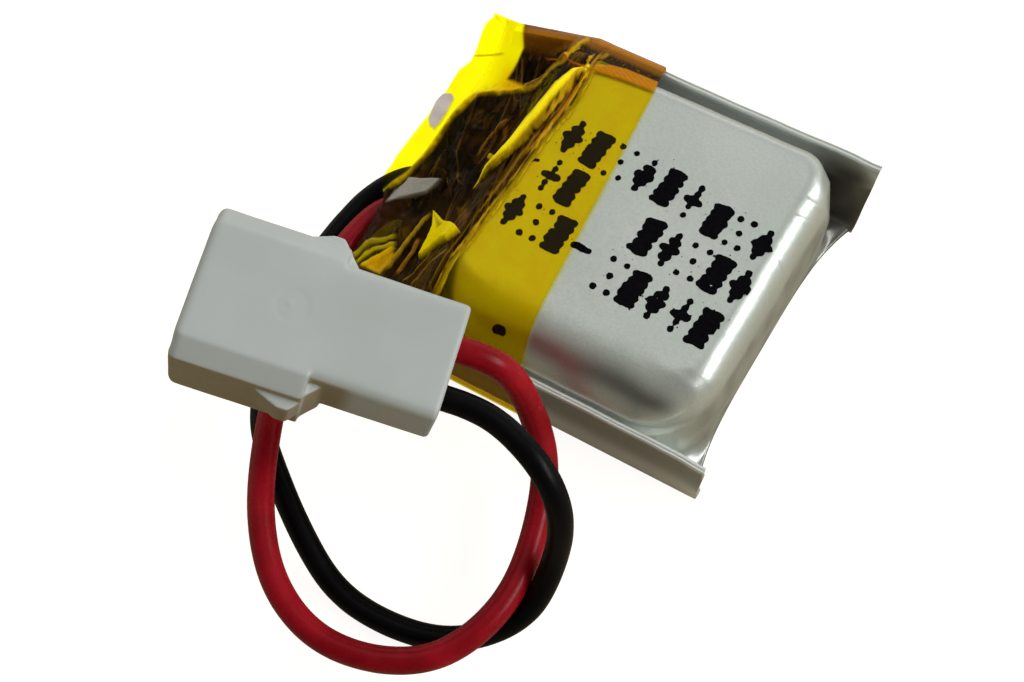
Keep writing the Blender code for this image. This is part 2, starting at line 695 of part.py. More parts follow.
def smooth_course(course):
    """Centripetal Catmull-Rom through the points."""
    points = [Vector(p) for p in course]
    points = [points[0] * 2 - points[1]] + points + [points[-1] * 2 - points[-2]]
    out = []
    for i in range(1, len(points) - 2):
        p0, p1, p2, p3 = points[i - 1 : i + 3]
        t0 = 0.0
        t1 = t0 + (p1 - p0).length ** 0.5
        t2 = t1 + (p2 - p1).length ** 0.5
        t3 = t2 + (p3 - p2).length ** 0.5
        for k in range(COURSE_STEPS):
            t = t1 + (t2 - t1) * k / COURSE_STEPS
            a1 = blend(p0, p1, t0, t1, t)
            a2 = blend(p1, p2, t1, t2, t)
            a3 = blend(p2, p3, t2, t3, t)
            b1 = blend(a1, a2, t0, t2, t)
            b2 = blend(a2, a3, t1, t3, t)
            out.append(blend(b1, b2, t1, t2, t))
    out.append(points[-2])
    return out


def distances(line):
    total = [0.0]
    for a, b in zip(line, line[1:]):
        total.append(total[-1] + (b - a).length)
    return total


def between(line, start, end, step, origin=Vector((0, 0, 0))):
    """Evenly spaced points from one distance along the line to another, from an origin."""
    total = distances(line)
    count = max(1, round((end - start) / step))
    out = []
    for k in range(count + 1):
        want = start + (end - start) * k / count
        i = next(j for j in range(1, len(total)) if total[j] >= want - 1e-9)
        fraction = (want - total[i - 1]) / (total[i] - total[i - 1])
        out.append(line[i - 1].lerp(line[i], fraction) - origin)
    return out


def nearest(line, target):
    """Distance along the line to its point nearest the target in plan."""
    pairs = zip(line, distances(line))
    return min(pairs, key=lambda pair: (pair[0].xy - target.xy).length)[1]


def rings_along(line, radius, sides):
    """Circles square to the line, with no twist from one to the next."""
    rings = []
    tangent = (line[1] - line[0]).normalized()
    normal = tangent.orthogonal().normalized()
    for i, p in enumerate(line):
        a, b = line[max(i - 1, 0)], line[min(i + 1, len(line) - 1)]
        turned = (b - a).normalized()
        normal = (tangent.rotation_difference(turned) @ normal).normalized()
        normal = (normal - turned * normal.dot(turned)).normalized()
        tangent = turned
        side = tangent.cross(normal)
        rings.append([
            tuple(p + normal * (radius * math.cos(t)) + side * (radius * math.sin(t)))
            for t in circle_angles(sides)])
    return rings


def add_lead_piece(name, colour, line, parent=None):
    """One length of insulation and the conductor inside it."""
    outer = rings_along(line, LEAD_R, LEAD_SIDES)
    inner = rings_along(line, LEAD_BORE_R, LEAD_SIDES)
    strand = rings_along(line, STRAND_R, STRAND_SIDES)
    sleeve = loft(outer + inner[::-1], closed=True)
    add_piece(f"{colour}_insulation_{name}", sleeve, colour, parent, smooth=50)
    add_piece(f"{colour}_conductor_{name}", loft(strand), "tinned", parent, smooth=50)


def add_axis(name, offset, parent=None):
    """An empty that stands for a hinge's axis, placed from its parent."""
    empty = bpy.data.objects.new(name, None)
    empty.empty_display_size = 0.002
    bpy.context.scene.collection.objects.link(empty)
    empty.parent = parent
    empty.matrix_basis = Matrix.Translation(offset * MM)
    return empty


def lead_line(course, pad_y, side):
    """A lead's smoothed course from its pad to just past the bend at the plug."""
    along, across = PLUG_TURN.col[0], PLUG_TURN.col[1]
    bend = PLUG_PIVOT + across * (side * PITCH / 2)
    ends = [bend + along * WIRE_RUN_IN, bend - along * WIRE_RUN_OUT]
    return smooth_course([(LEAD_X0, pad_y, LEAD_Z), *course, *ends])


def add_leads():
    """Both leads in three lengths each; returns the plug's axis."""
    swing = add_axis("lead_swing_axis", SWING_PIVOT)
    loop = add_axis("loop_flex_axis", LOOP_PIVOT - SWING_PIVOT, swing)
    plug = add_axis("plug_tilt_axis", PLUG_PIVOT - LOOP_PIVOT, loop)
    plug.matrix_basis = plug.matrix_basis @ PLUG_TURN.to_4x4()
    for colour, course, pad_y, side in LEADS:
        line = lead_line(course, pad_y, side)
        first, second = nearest(line, SWING_PIVOT), nearest(line, LOOP_PIVOT)
        last = distances(line)[-1] - WIRE_RUN_OUT
        tail = between(line, 0.0, first - FLEX_GAP, TAIL_STEP)
        inner = between(line, first + FLEX_GAP, second - FLEX_GAP, RING_STEP, SWING_PIVOT)
        outer = between(line, second + FLEX_GAP, last - FLEX_GAP, RING_STEP, LOOP_PIVOT)
        add_lead_piece("tail", colour, tail)
        add_lead_piece("inner", colour, inner, swing)
        add_lead_piece("outer", colour, outer, loop)
    return plug


# ---------------------------------------------------------------- plug

def add_plug_housing(parent):
    """A rounded rear block and a wider front shroud, with side latches and two cavities."""
    half = PLUG_REAR_W / 2
    rear = rounded_rect(-half, half, -PLUG_TOP, PLUG_TOP, PLUG_EDGE_R, PLUG_EDGE_STEPS)
    rear_block = prism(rear, X_AXIS, PLUG_REAR_X, PLUG_FRONT_X + PLUG_OVERLAP)
    housing = add_piece("plug_housing", rear_block, "nylon", parent)

    half, low = PLUG_FRONT_W / 2, PLUG_TOP - PLUG_FRONT_T
    front = [
        (half - PLUG_BEVEL, PLUG_TOP), (-half + PLUG_BEVEL, PLUG_TOP),
        (-half, PLUG_TOP - PLUG_BEVEL), (-half, low + PLUG_LOW_BEVEL),
        (-half + PLUG_LOW_BEVEL, low), (half - PLUG_LOW_BEVEL, low),
        (half, low + PLUG_LOW_BEVEL), (half, PLUG_TOP - PLUG_BEVEL),
    ]
    combine(housing, "plug_shroud", prism(front, X_AXIS, PLUG_FRONT_X, PLUG_STEP_X))
    for side in (-1, 1):
        ramp = [(PLUG_STEP_X + along, side * (half + out)) for along, out in LATCH_OUTLINE]
        combine(housing, f"plug_latch_{side}", prism(ramp, Z_AXIS, LATCH_Z0, LATCH_Z1))
        y = side * PITCH / 2
        cavity = box(PLUG_FRONT_X - PLUG_OVERLAP, PLUG_REAR_X + PLUG_OVERLAP,
                     y - CAVITY_W / 2, y + CAVITY_W / 2, -CAVITY_H / 2, CAVITY_H / 2)
        combine(housing, f"plug_cavity_{side}", cavity, "DIFFERENCE")


def add_contact(pole, y, parent):
    """A square socket with a blind bore, joined by a neck to a round barrel."""
    shell = rect(y - SOCKET_HALF_W, y + SOCKET_HALF_W, SOCKET_Z0, SOCKET_Z1)
    bore = rect(y - BORE_HALF_W, y + BORE_HALF_W, BORE_Z0, BORE_Z1)
    ends = ((shell, SOCKET_X1), (shell, SOCKET_X0), (bore, SOCKET_X0),
            (bore, SOCKET_X0 + SOCKET_DEPTH))
    socket = loft([section(outline, X_AXIS, x) for outline, x in ends])
    contact = add_piece(f"{pole}_crimp_contact", socket, "tinned", parent)
    neck = box(NECK_X0, NECK_X1, y - NECK_HALF_W, y + NECK_HALF_W, NECK_Z0, NECK_Z1)
    combine(contact, f"{pole}_contact_neck", neck)
    barrel = [(y + BARREL_HALF_W * math.cos(t), BARREL_Z + BARREL_HALF_H * math.sin(t))
              for t in circle_angles(BARREL_SIDES)]
    combine(contact, f"{pole}_contact_barrel", prism(barrel, X_AXIS, BARREL_X0, BARREL_X1))


def add_plug(parent):
    add_plug_housing(parent)
    for pole, colour, side in (("positive", "red", 1), ("negative", "black", -1)):
        y = side * PITCH / 2
        add_lead_piece("plug_end", colour, [Vector((x, y, 0.0)) for x in PLUG_LEAD_X], parent)
        add_contact(pole, y, parent)


clear_scene()
add_pouch_front()
add_pouch_back()
add_core()
add_tabs()
add_board()
add_tape_wrap()
add_tape_end_strip()
add_plug(add_leads())
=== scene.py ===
"""A small lithium polymer pack with an amber taped end, two looped leads and a two-way plug.

Lengths are in millimetres and are scaled once, when a mesh is made. The origin is the centre of
the pouch's flat back, +Z is up through the cup and +X runs to the folded end. The -X end, with
the board, is the terminal end; the -Y side is called near and the +Y side far.
"""

import json
import math

import bmesh
import bpy
import numpy as np
from mathutils import Matrix, Vector


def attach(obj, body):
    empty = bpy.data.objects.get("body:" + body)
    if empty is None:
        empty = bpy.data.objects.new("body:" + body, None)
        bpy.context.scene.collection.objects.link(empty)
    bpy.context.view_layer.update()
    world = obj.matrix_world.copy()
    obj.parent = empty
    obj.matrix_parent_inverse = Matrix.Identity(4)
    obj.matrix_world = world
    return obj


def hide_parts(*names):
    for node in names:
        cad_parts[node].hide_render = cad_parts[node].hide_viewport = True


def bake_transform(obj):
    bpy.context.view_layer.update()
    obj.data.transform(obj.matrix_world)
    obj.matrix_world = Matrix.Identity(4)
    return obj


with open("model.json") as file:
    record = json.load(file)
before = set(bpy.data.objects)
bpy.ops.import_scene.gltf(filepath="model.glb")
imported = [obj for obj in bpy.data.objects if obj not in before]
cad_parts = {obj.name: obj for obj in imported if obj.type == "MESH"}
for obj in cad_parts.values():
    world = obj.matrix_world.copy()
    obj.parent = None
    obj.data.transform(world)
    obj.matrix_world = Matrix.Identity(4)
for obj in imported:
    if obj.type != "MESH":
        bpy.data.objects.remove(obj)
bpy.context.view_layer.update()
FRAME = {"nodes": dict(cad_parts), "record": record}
MM = 0.001

# Pouch
CUP_X0, CUP_X1, CUP_HALF_W = -4.95, 7.83, 6.53
CELL_T, CUP_END_TUCK = 6.00, 0.50
NEAR_H, FAR_H, FAR_LEAN = 4.41, 4.48, 0.73
SEAL_X0, EAR_X_BASE, EAR_X_TIP, FOLD_X_MID = -8.45, 8.12, 8.83, 7.30
SEAL_FOOT_Y, SEAL_FOOT_Z = 6.93, 0.24
TERRACE_X, TERRACE_Z = -8.60, 0.49
# Rounding of the cup's top edge on each side; on the near side it reaches further in than down
R_CLOSED, R_FAR, R_TERMINAL, R_NEAR = 1.20, 0.72, 0.85, 1.55
NEAR_REACH = 2.35
# The cup's corner radii from above: +X+Y, -X+Y, -X-Y, +X-Y
CORNERS = (1.80, 1.70, 3.40, 2.90)

# Tape
WRAP_X1, WRAP_SKEW = -0.17, 0.08
TAPE_T = 0.07


# ---------------------------------------------------------------- numbers

def smooth(start, end, value):
    """An eased step from 0 at start to 1 at end; start may be the larger."""
    share = np.clip((np.asarray(value, float) - start) / (end - start), 0.0, 1.0)
    return share * share * (3 - 2 * share)


def rounding(radius, share):
    """Drop of a quarter-round edge at a share of its width."""
    return radius * (1 - np.sqrt(1 - np.clip(share, 0, 1) ** 2))


def hashed(i, j, k, seed):
    """A fixed scatter of whole numbers over -1..1."""
    h = (i * 374761393 + j * 668265263 + k * 1440662683 + seed * 974634777) & 0xFFFFFFFF
    h = ((h ^ (h >> 13)) * 1274126177) & 0xFFFFFFFF
    h = ((h ^ (h >> 16)) * 2246822519) & 0xFFFFFFFF
    return ((h >> 8) & 0xFFFF) / 32767.5 - 1.0


def noise(points, size, seed):
    """Smooth value noise in -1..1 with lumps of the given size."""
    scaled = np.asarray(points, float) / size
    cell = np.floor(scaled).astype(np.int64)
    part = scaled - cell
    part = part * part * part * (part * (part * 6 - 15) + 10)
    total = np.zeros(scaled.shape[:-1])
    for corner in np.ndindex(2, 2, 2):
        weight = np.where(corner, part, 1 - part).prod(-1)
        total += weight * hashed(*np.moveaxis(cell + corner, -1, 0), seed)
    return total


def flat_noise(x, y, size, seed):
    return noise(np.stack([x, y, np.full_like(x, 0.37 * size)], -1), size, seed)


def facets(x, y, size_x, size_y, angle, seed):
    """Crumpled film: a height in -1..1 made of flat triangles that meet in sharp folds."""
    c, s = math.cos(angle), math.sin(angle)
    u, v = (c * x + s * y) / size_x, (-s * x + c * y) / size_y
    place = np.stack([u, v, np.zeros_like(u)], -1)
    u = u + 0.55 * noise(place, 1.3, seed + 1)
    v = v + 0.55 * noise(place, 1.3, seed + 2)
    i, j = np.floor(u).astype(np.int64), np.floor(v).astype(np.int64)
    a, b = u - i, v - j
    h00, h10, h01, h11 = (hashed(i + di, j + dj, 0, seed) for di, dj in ((0, 0), (1, 0), (0, 1), (1, 1)))
    # Each cell is split along one diagonal or the other.
    falling = np.where(a + b < 1, h00 + (h10 - h00) * a + (h01 - h00) * b,
                       h11 + (h01 - h11) * (1 - a) + (h10 - h11) * (1 - b))
    rising = np.where(a > b, h00 + (h10 - h00) * a + (h11 - h10) * b,
                      h00 + (h11 - h01) * a + (h01 - h00) * b)
    return np.where(hashed(i, j, 0, seed + 7) > 0, falling, rising)


def to_line(x, y, line):
    """Distance to a broken line, and how far along it (0 to 1) the nearest point is."""
    points = np.asarray(line, float)
    best = np.full(np.shape(x), 1e9)
    along = np.zeros(np.shape(x))
    lengths = np.hypot(*(points[1:] - points[:-1]).T)
    done = 0.0
    for (ax, ay), (bx, by), length in zip(points[:-1], points[1:], lengths):
        dx, dy = bx - ax, by - ay
        share = np.clip(((x - ax) * dx + (y - ay) * dy) / (length * length), 0, 1)
        gap = np.hypot(x - ax - share * dx, y - ay - share * dy)
        nearer = gap < best
        best = np.where(nearer, gap, best)
        along = np.where(nearer, (done + share * length) / lengths.sum(), along)
        done += length
    return best, along


def inside(x, y, border, soft):
    """1 inside a border, 0 outside, with a soft edge."""
    points = np.asarray(border, float)
    hit = np.zeros(np.shape(x), bool)
    for (ax, ay), (bx, by) in zip(points, np.roll(points, -1, 0)):
        crossing = ax + (y - ay) * (bx - ax) / (by - ay if by != ay else 1e-9)
        hit ^= ((ay > y) != (by > y)) & (x < crossing)
    gap, _ = to_line(x, y, np.vstack([points, points[:1]]))
    return smooth(-soft, soft, np.where(hit, gap, -gap))


def over(base, color, mask):
    """A colour laid over another where the mask says."""
    base = np.asarray(base, float)
    return base + (np.asarray(color, float) - base) * mask[..., None]


# ---------------------------------------------------------------- meshes

def add_object(name, data):
    obj = bpy.data.objects.new(name, data)
    bpy.context.scene.collection.objects.link(obj)
    return obj


def make(name, verts, faces, material, sharp=None, outward=True):
    """A smooth mesh object from points in mm and a list or array of faces.

    A closed mesh is turned to face outwards; edges over the sharp angle (degrees) stay crisp.
    """
    mesh = bpy.data.meshes.new(name)
    verts = np.asarray(verts, float).reshape(-1, 3) * MM
    if isinstance(faces, np.ndarray):
        mesh.vertices.add(len(verts))
        mesh.vertices.foreach_set("co", verts.astype(np.float32).ravel())
        mesh.loops.add(faces.size)
        mesh.loops.foreach_set("vertex_index", faces.astype(np.int32).ravel())
        mesh.polygons.add(len(faces))
        starts = np.arange(0, faces.size, faces.shape[1], dtype=np.int32)
        mesh.polygons.foreach_set("loop_start", starts)
        mesh.update(calc_edges=True)
        mesh.validate()
    else:
        mesh.from_pydata(verts.tolist(), [], [tuple(map(int, face)) for face in faces])
    mesh.materials.append(material)
    if outward:
        bm = bmesh.new()
        bm.from_mesh(mesh)
        bmesh.ops.recalc_face_normals(bm, faces=bm.faces[:])
        bm.to_mesh(mesh)
        bm.free()
    mesh.shade_smooth()
    if sharp:
        mesh.set_sharp_from_angle(angle=math.radians(sharp))
    return add_object(name, mesh)


def weave(rows, cols, base=0):
    """Quads over rings of points, each ring closed on itself."""
    i, j = np.meshgrid(np.arange(rows - 1), np.arange(cols), indexing="ij")
    after = (j + 1) % cols
    quads = [i * cols + j, i * cols + after, (i + 1) * cols + after, (i + 1) * cols + j]
    return np.stack(quads, -1).reshape(-1, 4) + base


def loft_faces(rows, cols, base=0):
    """Quads over rings of points, with both ends capped."""
    last = base + (rows - 1) * cols
    return [*weave(rows, cols, base), range(base, base + cols)[::-1], range(last, last + cols)]


def loft(name, rings, material, sharp=None):
    """A closed solid through equal rings."""
    rings = np.array(rings, float)
    return make(name, rings, loft_faces(*rings.shape[:2]), material, sharp)


def paint(obj, name, values):
    """A colour or a number for each vertex."""
    values = np.asarray(values, float)
    if values.ndim == 1:
        layer = obj.data.attributes.new(name, "FLOAT", "POINT")
        layer.data.foreach_set("value", values.astype(np.float32))
    else:
        layer = obj.data.attributes.new(name, "FLOAT_COLOR", "POINT")
        rgba = np.ones((len(values), 4), np.float32)
        rgba[:, :3] = values
        layer.data.foreach_set("color", rgba.ravel())


# ---------------------------------------------------------------- materials

class Nodes:
    """Short ways to build the nodes of a material or a world."""

    def __init__(self, block, output="OutputMaterial", coords="Object"):
        self.block = block
        block.use_nodes = True
        self.tree = block.node_tree
        self.tree.nodes.clear()
        self.out = self.add(output)
        self.where = self.add("TexCoord").outputs[coords]

    def add(self, kind, inputs=None, **settings):
        """A node; each input is given a value or the output that feeds it."""
        node = self.tree.nodes.new("ShaderNode" + kind)
        for key, value in settings.items():
            setattr(node, key, value)
        for key, value in (inputs or {}).items():
            socket = node.inputs[key]
            if hasattr(value, "is_output"):
                self.tree.links.new(value, socket)
            elif isinstance(value, tuple) and len(value) == 3 and socket.type == "RGBA":
                socket.default_value = (*value, 1.0)
            else:
                socket.default_value = value
        return node

    def noise(self, scale, detail=3.0, rough=0.55, distort=0.0, stretch=None):
        """Noise of a size given in lumps per millimetre."""
        where = self.where
        if stretch:
            where = self.add("Mapping", {"Vector": where, "Scale": stretch}).outputs["Vector"]
        return self.add("TexNoise", {
            "Vector": where, "Scale": scale * 1000, "Detail": detail, "Roughness": rough,
            "Distortion": distort}).outputs["Fac"]

    def cells(self, scale):
        """Distance to scattered points, with the scale in points per millimetre."""
        inputs = {"Scale": scale * 1000, "Vector": self.where}
        return self.add("TexVoronoi", inputs, feature="F1").outputs["Distance"]

    def span(self, value, source, to=(0, 1)):
        """A value mapped from one range to another and clamped."""
        names = ("Value", "From Min", "From Max", "To Min", "To Max")
        return self.add("MapRange", dict(zip(names, (value, *source, *to)))).outputs["Result"]

    def times(self, a, b):
        return self.add("Math", {0: a, 1: b}, operation="MULTIPLY").outputs[0]

    def mix(self, factor, a, b, kind="MIX"):
        return self.add("MixRGB", {0: factor, 1: a, 2: b}, blend_type=kind).outputs[0]

    def mix_shaders(self, factor, a, b):
        return self.add("MixShader", {0: factor, 1: a, 2: b}).outputs[0]

    def attribute(self, name, output="Fac"):
        return self.add("Attribute", attribute_name=name).outputs[output]

    def ramp(self, value, stops):
        """A colour ramp; its first stop is at 0 and its last at 1."""
        node = self.add("ValToRGB", {0: value})
        elements = node.color_ramp.elements
        for at, _ in stops[1:-1]:
            elements.new(at)
        for element, (_, color) in zip(elements, stops):
            element.color = (*color, 1)
        return node.outputs["Color"]

    def bump(self, height, strength, distance=0.02, normal=None):
        inputs = {"Strength": strength, "Distance": distance * MM, "Height": height}
        if normal is not None:
            inputs["Normal"] = normal
        return self.add("Bump", inputs).outputs["Normal"]

    def principled(self, **inputs):
        inputs = {key.replace("_", " "): value for key, value in inputs.items()}
        return self.add("BsdfPrincipled", inputs).outputs["BSDF"]

    def finish(self, shader):
        self.tree.links.new(shader, self.out.inputs["Surface"])
        return self.block


def new_material(name):
    return Nodes(bpy.data.materials.new(name))


def plain(name, color, rough, metal=0.0, vary=0.12, grain=3.0, bump=0.25, coat=0.0, subsurface=0.0):
    """A finish whose colour, roughness and surface all vary a little."""
    n = new_material(name)
    big, fine = n.noise(grain * 0.35), n.noise(grain * 4, detail=4)
    dark = tuple(c * (1 - vary) for c in color)
    light = tuple(min(1.0, c * (1 + vary)) for c in color)
    tint = n.mix(n.span(big, (0.3, 0.7)), dark, light)
    tint = n.mix(n.span(fine, (0.35, 0.75), to=(0, 0.3)), tint, tuple(c * 0.75 for c in color))
    extra = {}
    if subsurface:
        extra = {"Subsurface Weight": subsurface, "Subsurface Scale": 0.6 * MM,
                 "Subsurface Radius": (1.0, 0.9, 0.8)}
    rough_range = (max(0.04, rough - 0.07), min(1.0, rough + 0.08))
    return n.finish(n.principled(
        Base_Color=tint, Metallic=metal, Roughness=n.span(fine, (0.3, 0.7), to=rough_range),
        Normal=n.bump(fine, bump), Coat_Weight=coat, **extra))


def laminate_finish():
    """Satin metal laminate, with painted highlights, painted shade and a painted red reflection of the
    lead.
    """
    n = new_material("satin_laminate")
    fine = n.noise(scale=9.0, detail=5, rough=0.65)
    cloud = n.noise(scale=0.22)
    drawn = n.noise(scale=14.0, rough=0.6, stretch=(0.12, 1.0, 1.0))
    speck = n.span(n.cells(2.3), (0.018, 0.045), to=(1, 0))
    rare = n.span(n.noise(scale=0.9, detail=2), (0.52, 0.62))
    tint = n.mix(n.span(cloud, (0.35, 0.65)), (0.62, 0.68, 0.63), (0.68, 0.725, 0.685))
    tint = n.mix(n.span(fine, (0.36, 0.70), to=(0, 0.42)), tint, (0.47, 0.52, 0.49))
    tint = n.mix(n.times(n.times(speck, rare), 0.75), tint, (0.12, 0.13, 0.12))
    # Painted highlights, painted shade and a painted red reflection, all from the vertex paints
    tint = n.mix(n.attribute("bright"), tint, (0.93, 0.97, 0.94))
    tint = n.mix(n.attribute("shade"), tint, (0.050, 0.036, 0.028))
    tint = n.mix(n.attribute("painted_red_reflection"), tint, (0.40, 0.11, 0.11))
    normal = n.bump(fine, strength=0.55, distance=0.014)
    normal = n.bump(drawn, strength=0.18, distance=0.010, normal=normal)
    normal = n.bump(cloud, strength=0.5, distance=0.05, normal=normal)
    rough = n.span(fine, (0.3, 0.7), to=(0.30, 0.40))
    return n.finish(n.principled(Base_Color=tint, Metallic=0.62, Roughness=rough, Normal=normal))


def film_finish():
    """Amber film: clear where it lies flat, and the painted tint, with a painted glow, where it is folded
    on itself.
    """
    n = new_material("amber_film")
    tint, through = n.attribute("tint", "Color"), n.attribute("through", "Color")
    fine = n.noise(scale=7.0, detail=5, rough=0.7)
    patch = n.noise(scale=1.1, detail=5, rough=0.6, distort=0.6)
    pits = n.span(n.cells(6.5), (0.05, 0.13), to=(1, 0))
    normal = n.bump(fine, strength=0.22, distance=0.012)
    normal = n.bump(pits, strength=0.15, distance=0.012, normal=normal)
    clouding = n.span(patch, (0.40, 0.66), to=(0, 0.10))
    clouded = n.mix(clouding, through, (0.93, 0.66, 0.02), "MULTIPLY")
    clouded = n.mix(n.times(pits, 0.10), clouded, (0.70, 0.50, 0.02), "MULTIPLY")
    glass = n.add("BsdfTransparent", {"Color": clouded}).outputs[0]
    gloss_rough = n.span(fine, (0.3, 0.7), to=(0.06, 0.16))
    gloss = n.add("BsdfGlossy", {
        "Color": (1, 0.97, 0.9), "Roughness": gloss_rough, "Normal": normal}).outputs[0]
    fresnel = n.add("Fresnel", {"IOR": 1.33, "Normal": normal}).outputs["Fac"]
    # Only the film's outer side shines: inside it the same reflection would grey the ink below.
    inner_side = n.add("NewGeometry").outputs["Backfacing"]
    outer = n.span(inner_side, (0, 1), to=(0.35, 0.0))
    sheet = n.mix_shaders(n.times(fresnel, outer), glass, gloss)
    browning = n.span(fine, (0.42, 0.68), to=(0, 0.35))
    # The glow attribute drives an emission: painted light standing in for light through the film from
    # behind
    body = n.principled(
        Base_Color=n.mix(browning, tint, (0.55, 0.40, 0.30), "MULTIPLY"),
        Roughness=n.span(fine, (0.3, 0.7), to=(0.16, 0.28)), Normal=normal,
        Specular_IOR_Level=0.05, Specular_Tint=(1.0, 0.72, 0.35),
        Emission_Color=tint, Emission_Strength=n.attribute("glow"))
    return n.finish(n.mix_shaders(n.attribute("clear"), body, sheet))


def lead_finish(name, dark, light, rough, sheen):
    n = new_material(name)
    fine, big = n.noise(scale=6.0, detail=5, rough=0.6), n.noise(scale=0.45)
    tint = n.mix(n.span(big, (0.35, 0.65)), dark, light)
    tint = n.mix(n.span(fine, (0.50, 0.75), to=(0, 0.12)), tint, tuple(c * 0.6 for c in dark))
    return n.finish(n.principled(
        Base_Color=tint, Roughness=n.span(fine, (0.3, 0.7), to=(rough - 0.05, rough + 0.08)),
        Normal=n.bump(fine, strength=0.10, distance=0.01), Specular_IOR_Level=sheen,
        Subsurface_Weight=0.04, Subsurface_Scale=0.2 * MM))


def nylon_finish():
    n = new_material("white_nylon")
    fine, big = n.noise(scale=5.0, detail=5, rough=0.6), n.noise(scale=0.25, detail=2)
    tint = n.mix(n.span(big, (0.35, 0.65)), (0.505, 0.55, 0.535), (0.555, 0.598, 0.585))
    tint = n.mix(n.span(fine, (0.55, 0.75), to=(0, 0.12)), tint, (0.50, 0.52, 0.48))
    # Painted tan shade on the faces that turn down, from the plug's vertex paint
    tint = n.mix(n.attribute("shade"), tint, (0.33, 0.275, 0.165))
    return n.finish(n.principled(
        Base_Color=tint, Roughness=n.span(fine, (0.3, 0.7), to=(0.40, 0.52)),
        Normal=n.bump(fine, strength=0.12, distance=0.015), Subsurface_Weight=0.12,
        Subsurface_Scale=0.5 * MM, Subsurface_Radius=(1.0, 0.92, 0.8)))


def ink_finish():
    n = new_material("black_ink")
    fine = n.noise(scale=7.0, detail=4)
    tint = n.mix(n.span(fine, (0.35, 0.7)), (0.0008, 0.0006, 0.0012), (0.0045, 0.0035, 0.0055))
    return n.finish(n.principled(
        Base_Color=tint, Roughness=n.span(fine, (0.3, 0.7), to=(0.45, 0.65)),
        Normal=n.bump(fine, strength=0.3, distance=0.01), Specular_IOR_Level=0.04))


LAMINATE = laminate_finish()
FILM = film_finish()
RED = lead_finish("red_silicone", dark=(0.25, 0.0020, 0.0075), light=(0.40, 0.006, 0.016),
                  rough=0.28, sheen=0.15)
BLACK = lead_finish("black_silicone", dark=(0.0012, 0.0010, 0.0016),
                    light=(0.0030, 0.0026, 0.0036), rough=0.32, sheen=0.10)
NYLON = nylon_finish()
INK = ink_finish()


# ---------------------------------------------------------------- pouch

# Creases across the closed end: y, width, height
CREASES = ((-4.9, 0.10, 0.035), (-4.3, 0.07, 0.020), (-2.2, 0.12, 0.012),
           (1.3, 0.09, 0.015), (3.6, 0.08, 0.022), (4.6, 0.12, 0.030))
# Flat facets pressed into the cup: facing, depth
CORNER_FACETS = (((0.80, 0.42, 0.43), 0.10), ((0.93, 0.33, 0.12), 0.10), ((0.66, 0.70, 0.28), 0.07))


def cup_outline():
    """(x, y) points round the cup, anticlockwise, and the direction in degrees each one faces."""
    arcs = []
    quarters = ((1, 1, 0), (-1, 1, 90), (-1, -1, 180), (1, -1, 270))
    for (side_x, side_y, start), r in zip(quarters, CORNERS):
        centre_x = CUP_X1 - r if side_x > 0 else CUP_X0 + r
        centre_y = side_y * (CUP_HALF_W - r)
        turns = [start + 90 * k / 18 for k in range(19)]
        arcs.append([(centre_x + r * math.cos(math.radians(t)),
                      centre_y + r * math.sin(math.radians(t)), t) for t in turns])
    points = []
    for k, arc in enumerate(arcs):
        (ax, ay, turn), (bx, by, _) = arc[-1], arcs[(k + 1) % 4][0]
        points += arc
        points += [(ax + (bx - ax) * i / 96, ay + (by - ay) * i / 96, turn) for i in range(1, 96)]
    points = np.array(points)
    return points[:, :2], points[:, 2]


def fold_x(y):
    return FOLD_X_MID + (EAR_X_BASE - FOLD_X_MID) * np.abs(np.clip(y / 7.0, -1, 1)) ** 4


def skirt_point(x, y, turn):
    """Where the seal round the cup ends, outward from a point on the cup's foot."""
    if turn < 90 or turn > 270:
        # The folded end, with each corner's arc spread along the seal's foot and then the fold.
        side, r = (-1, CORNERS[3]) if turn > 270 else (1, CORNERS[0])
        share = (turn - 270) / 90 if turn > 270 else 1 - turn / 90
        arc_x, arc_y = CUP_X1 - r, CUP_HALF_W - r
        if share < 0.5:
            return (arc_x + (EAR_X_BASE - arc_x) * 2 * share, side * SEAL_FOOT_Y, SEAL_FOOT_Z)
        if share < 1:
            y = side * (SEAL_FOOT_Y + (arc_y - SEAL_FOOT_Y) * (2 * share - 1))
        return (fold_x(y), y, 0.16 + 0.08 * smooth(0.7, 0.5, share))
    if x < CUP_X0 + 0.8 and abs(y) < 6.4:
        return (TERRACE_X, y * 1.075, TERRACE_Z)
    off_end = 1 - np.clip((x - CUP_X0) / 1.6, 0, 1)
    return (x + (TERRACE_X - CUP_X0) * off_end, np.sign(y) * SEAL_FOOT_Y,
            SEAL_FOOT_Z + (TERRACE_Z - SEAL_FOOT_Z) * off_end ** 2)


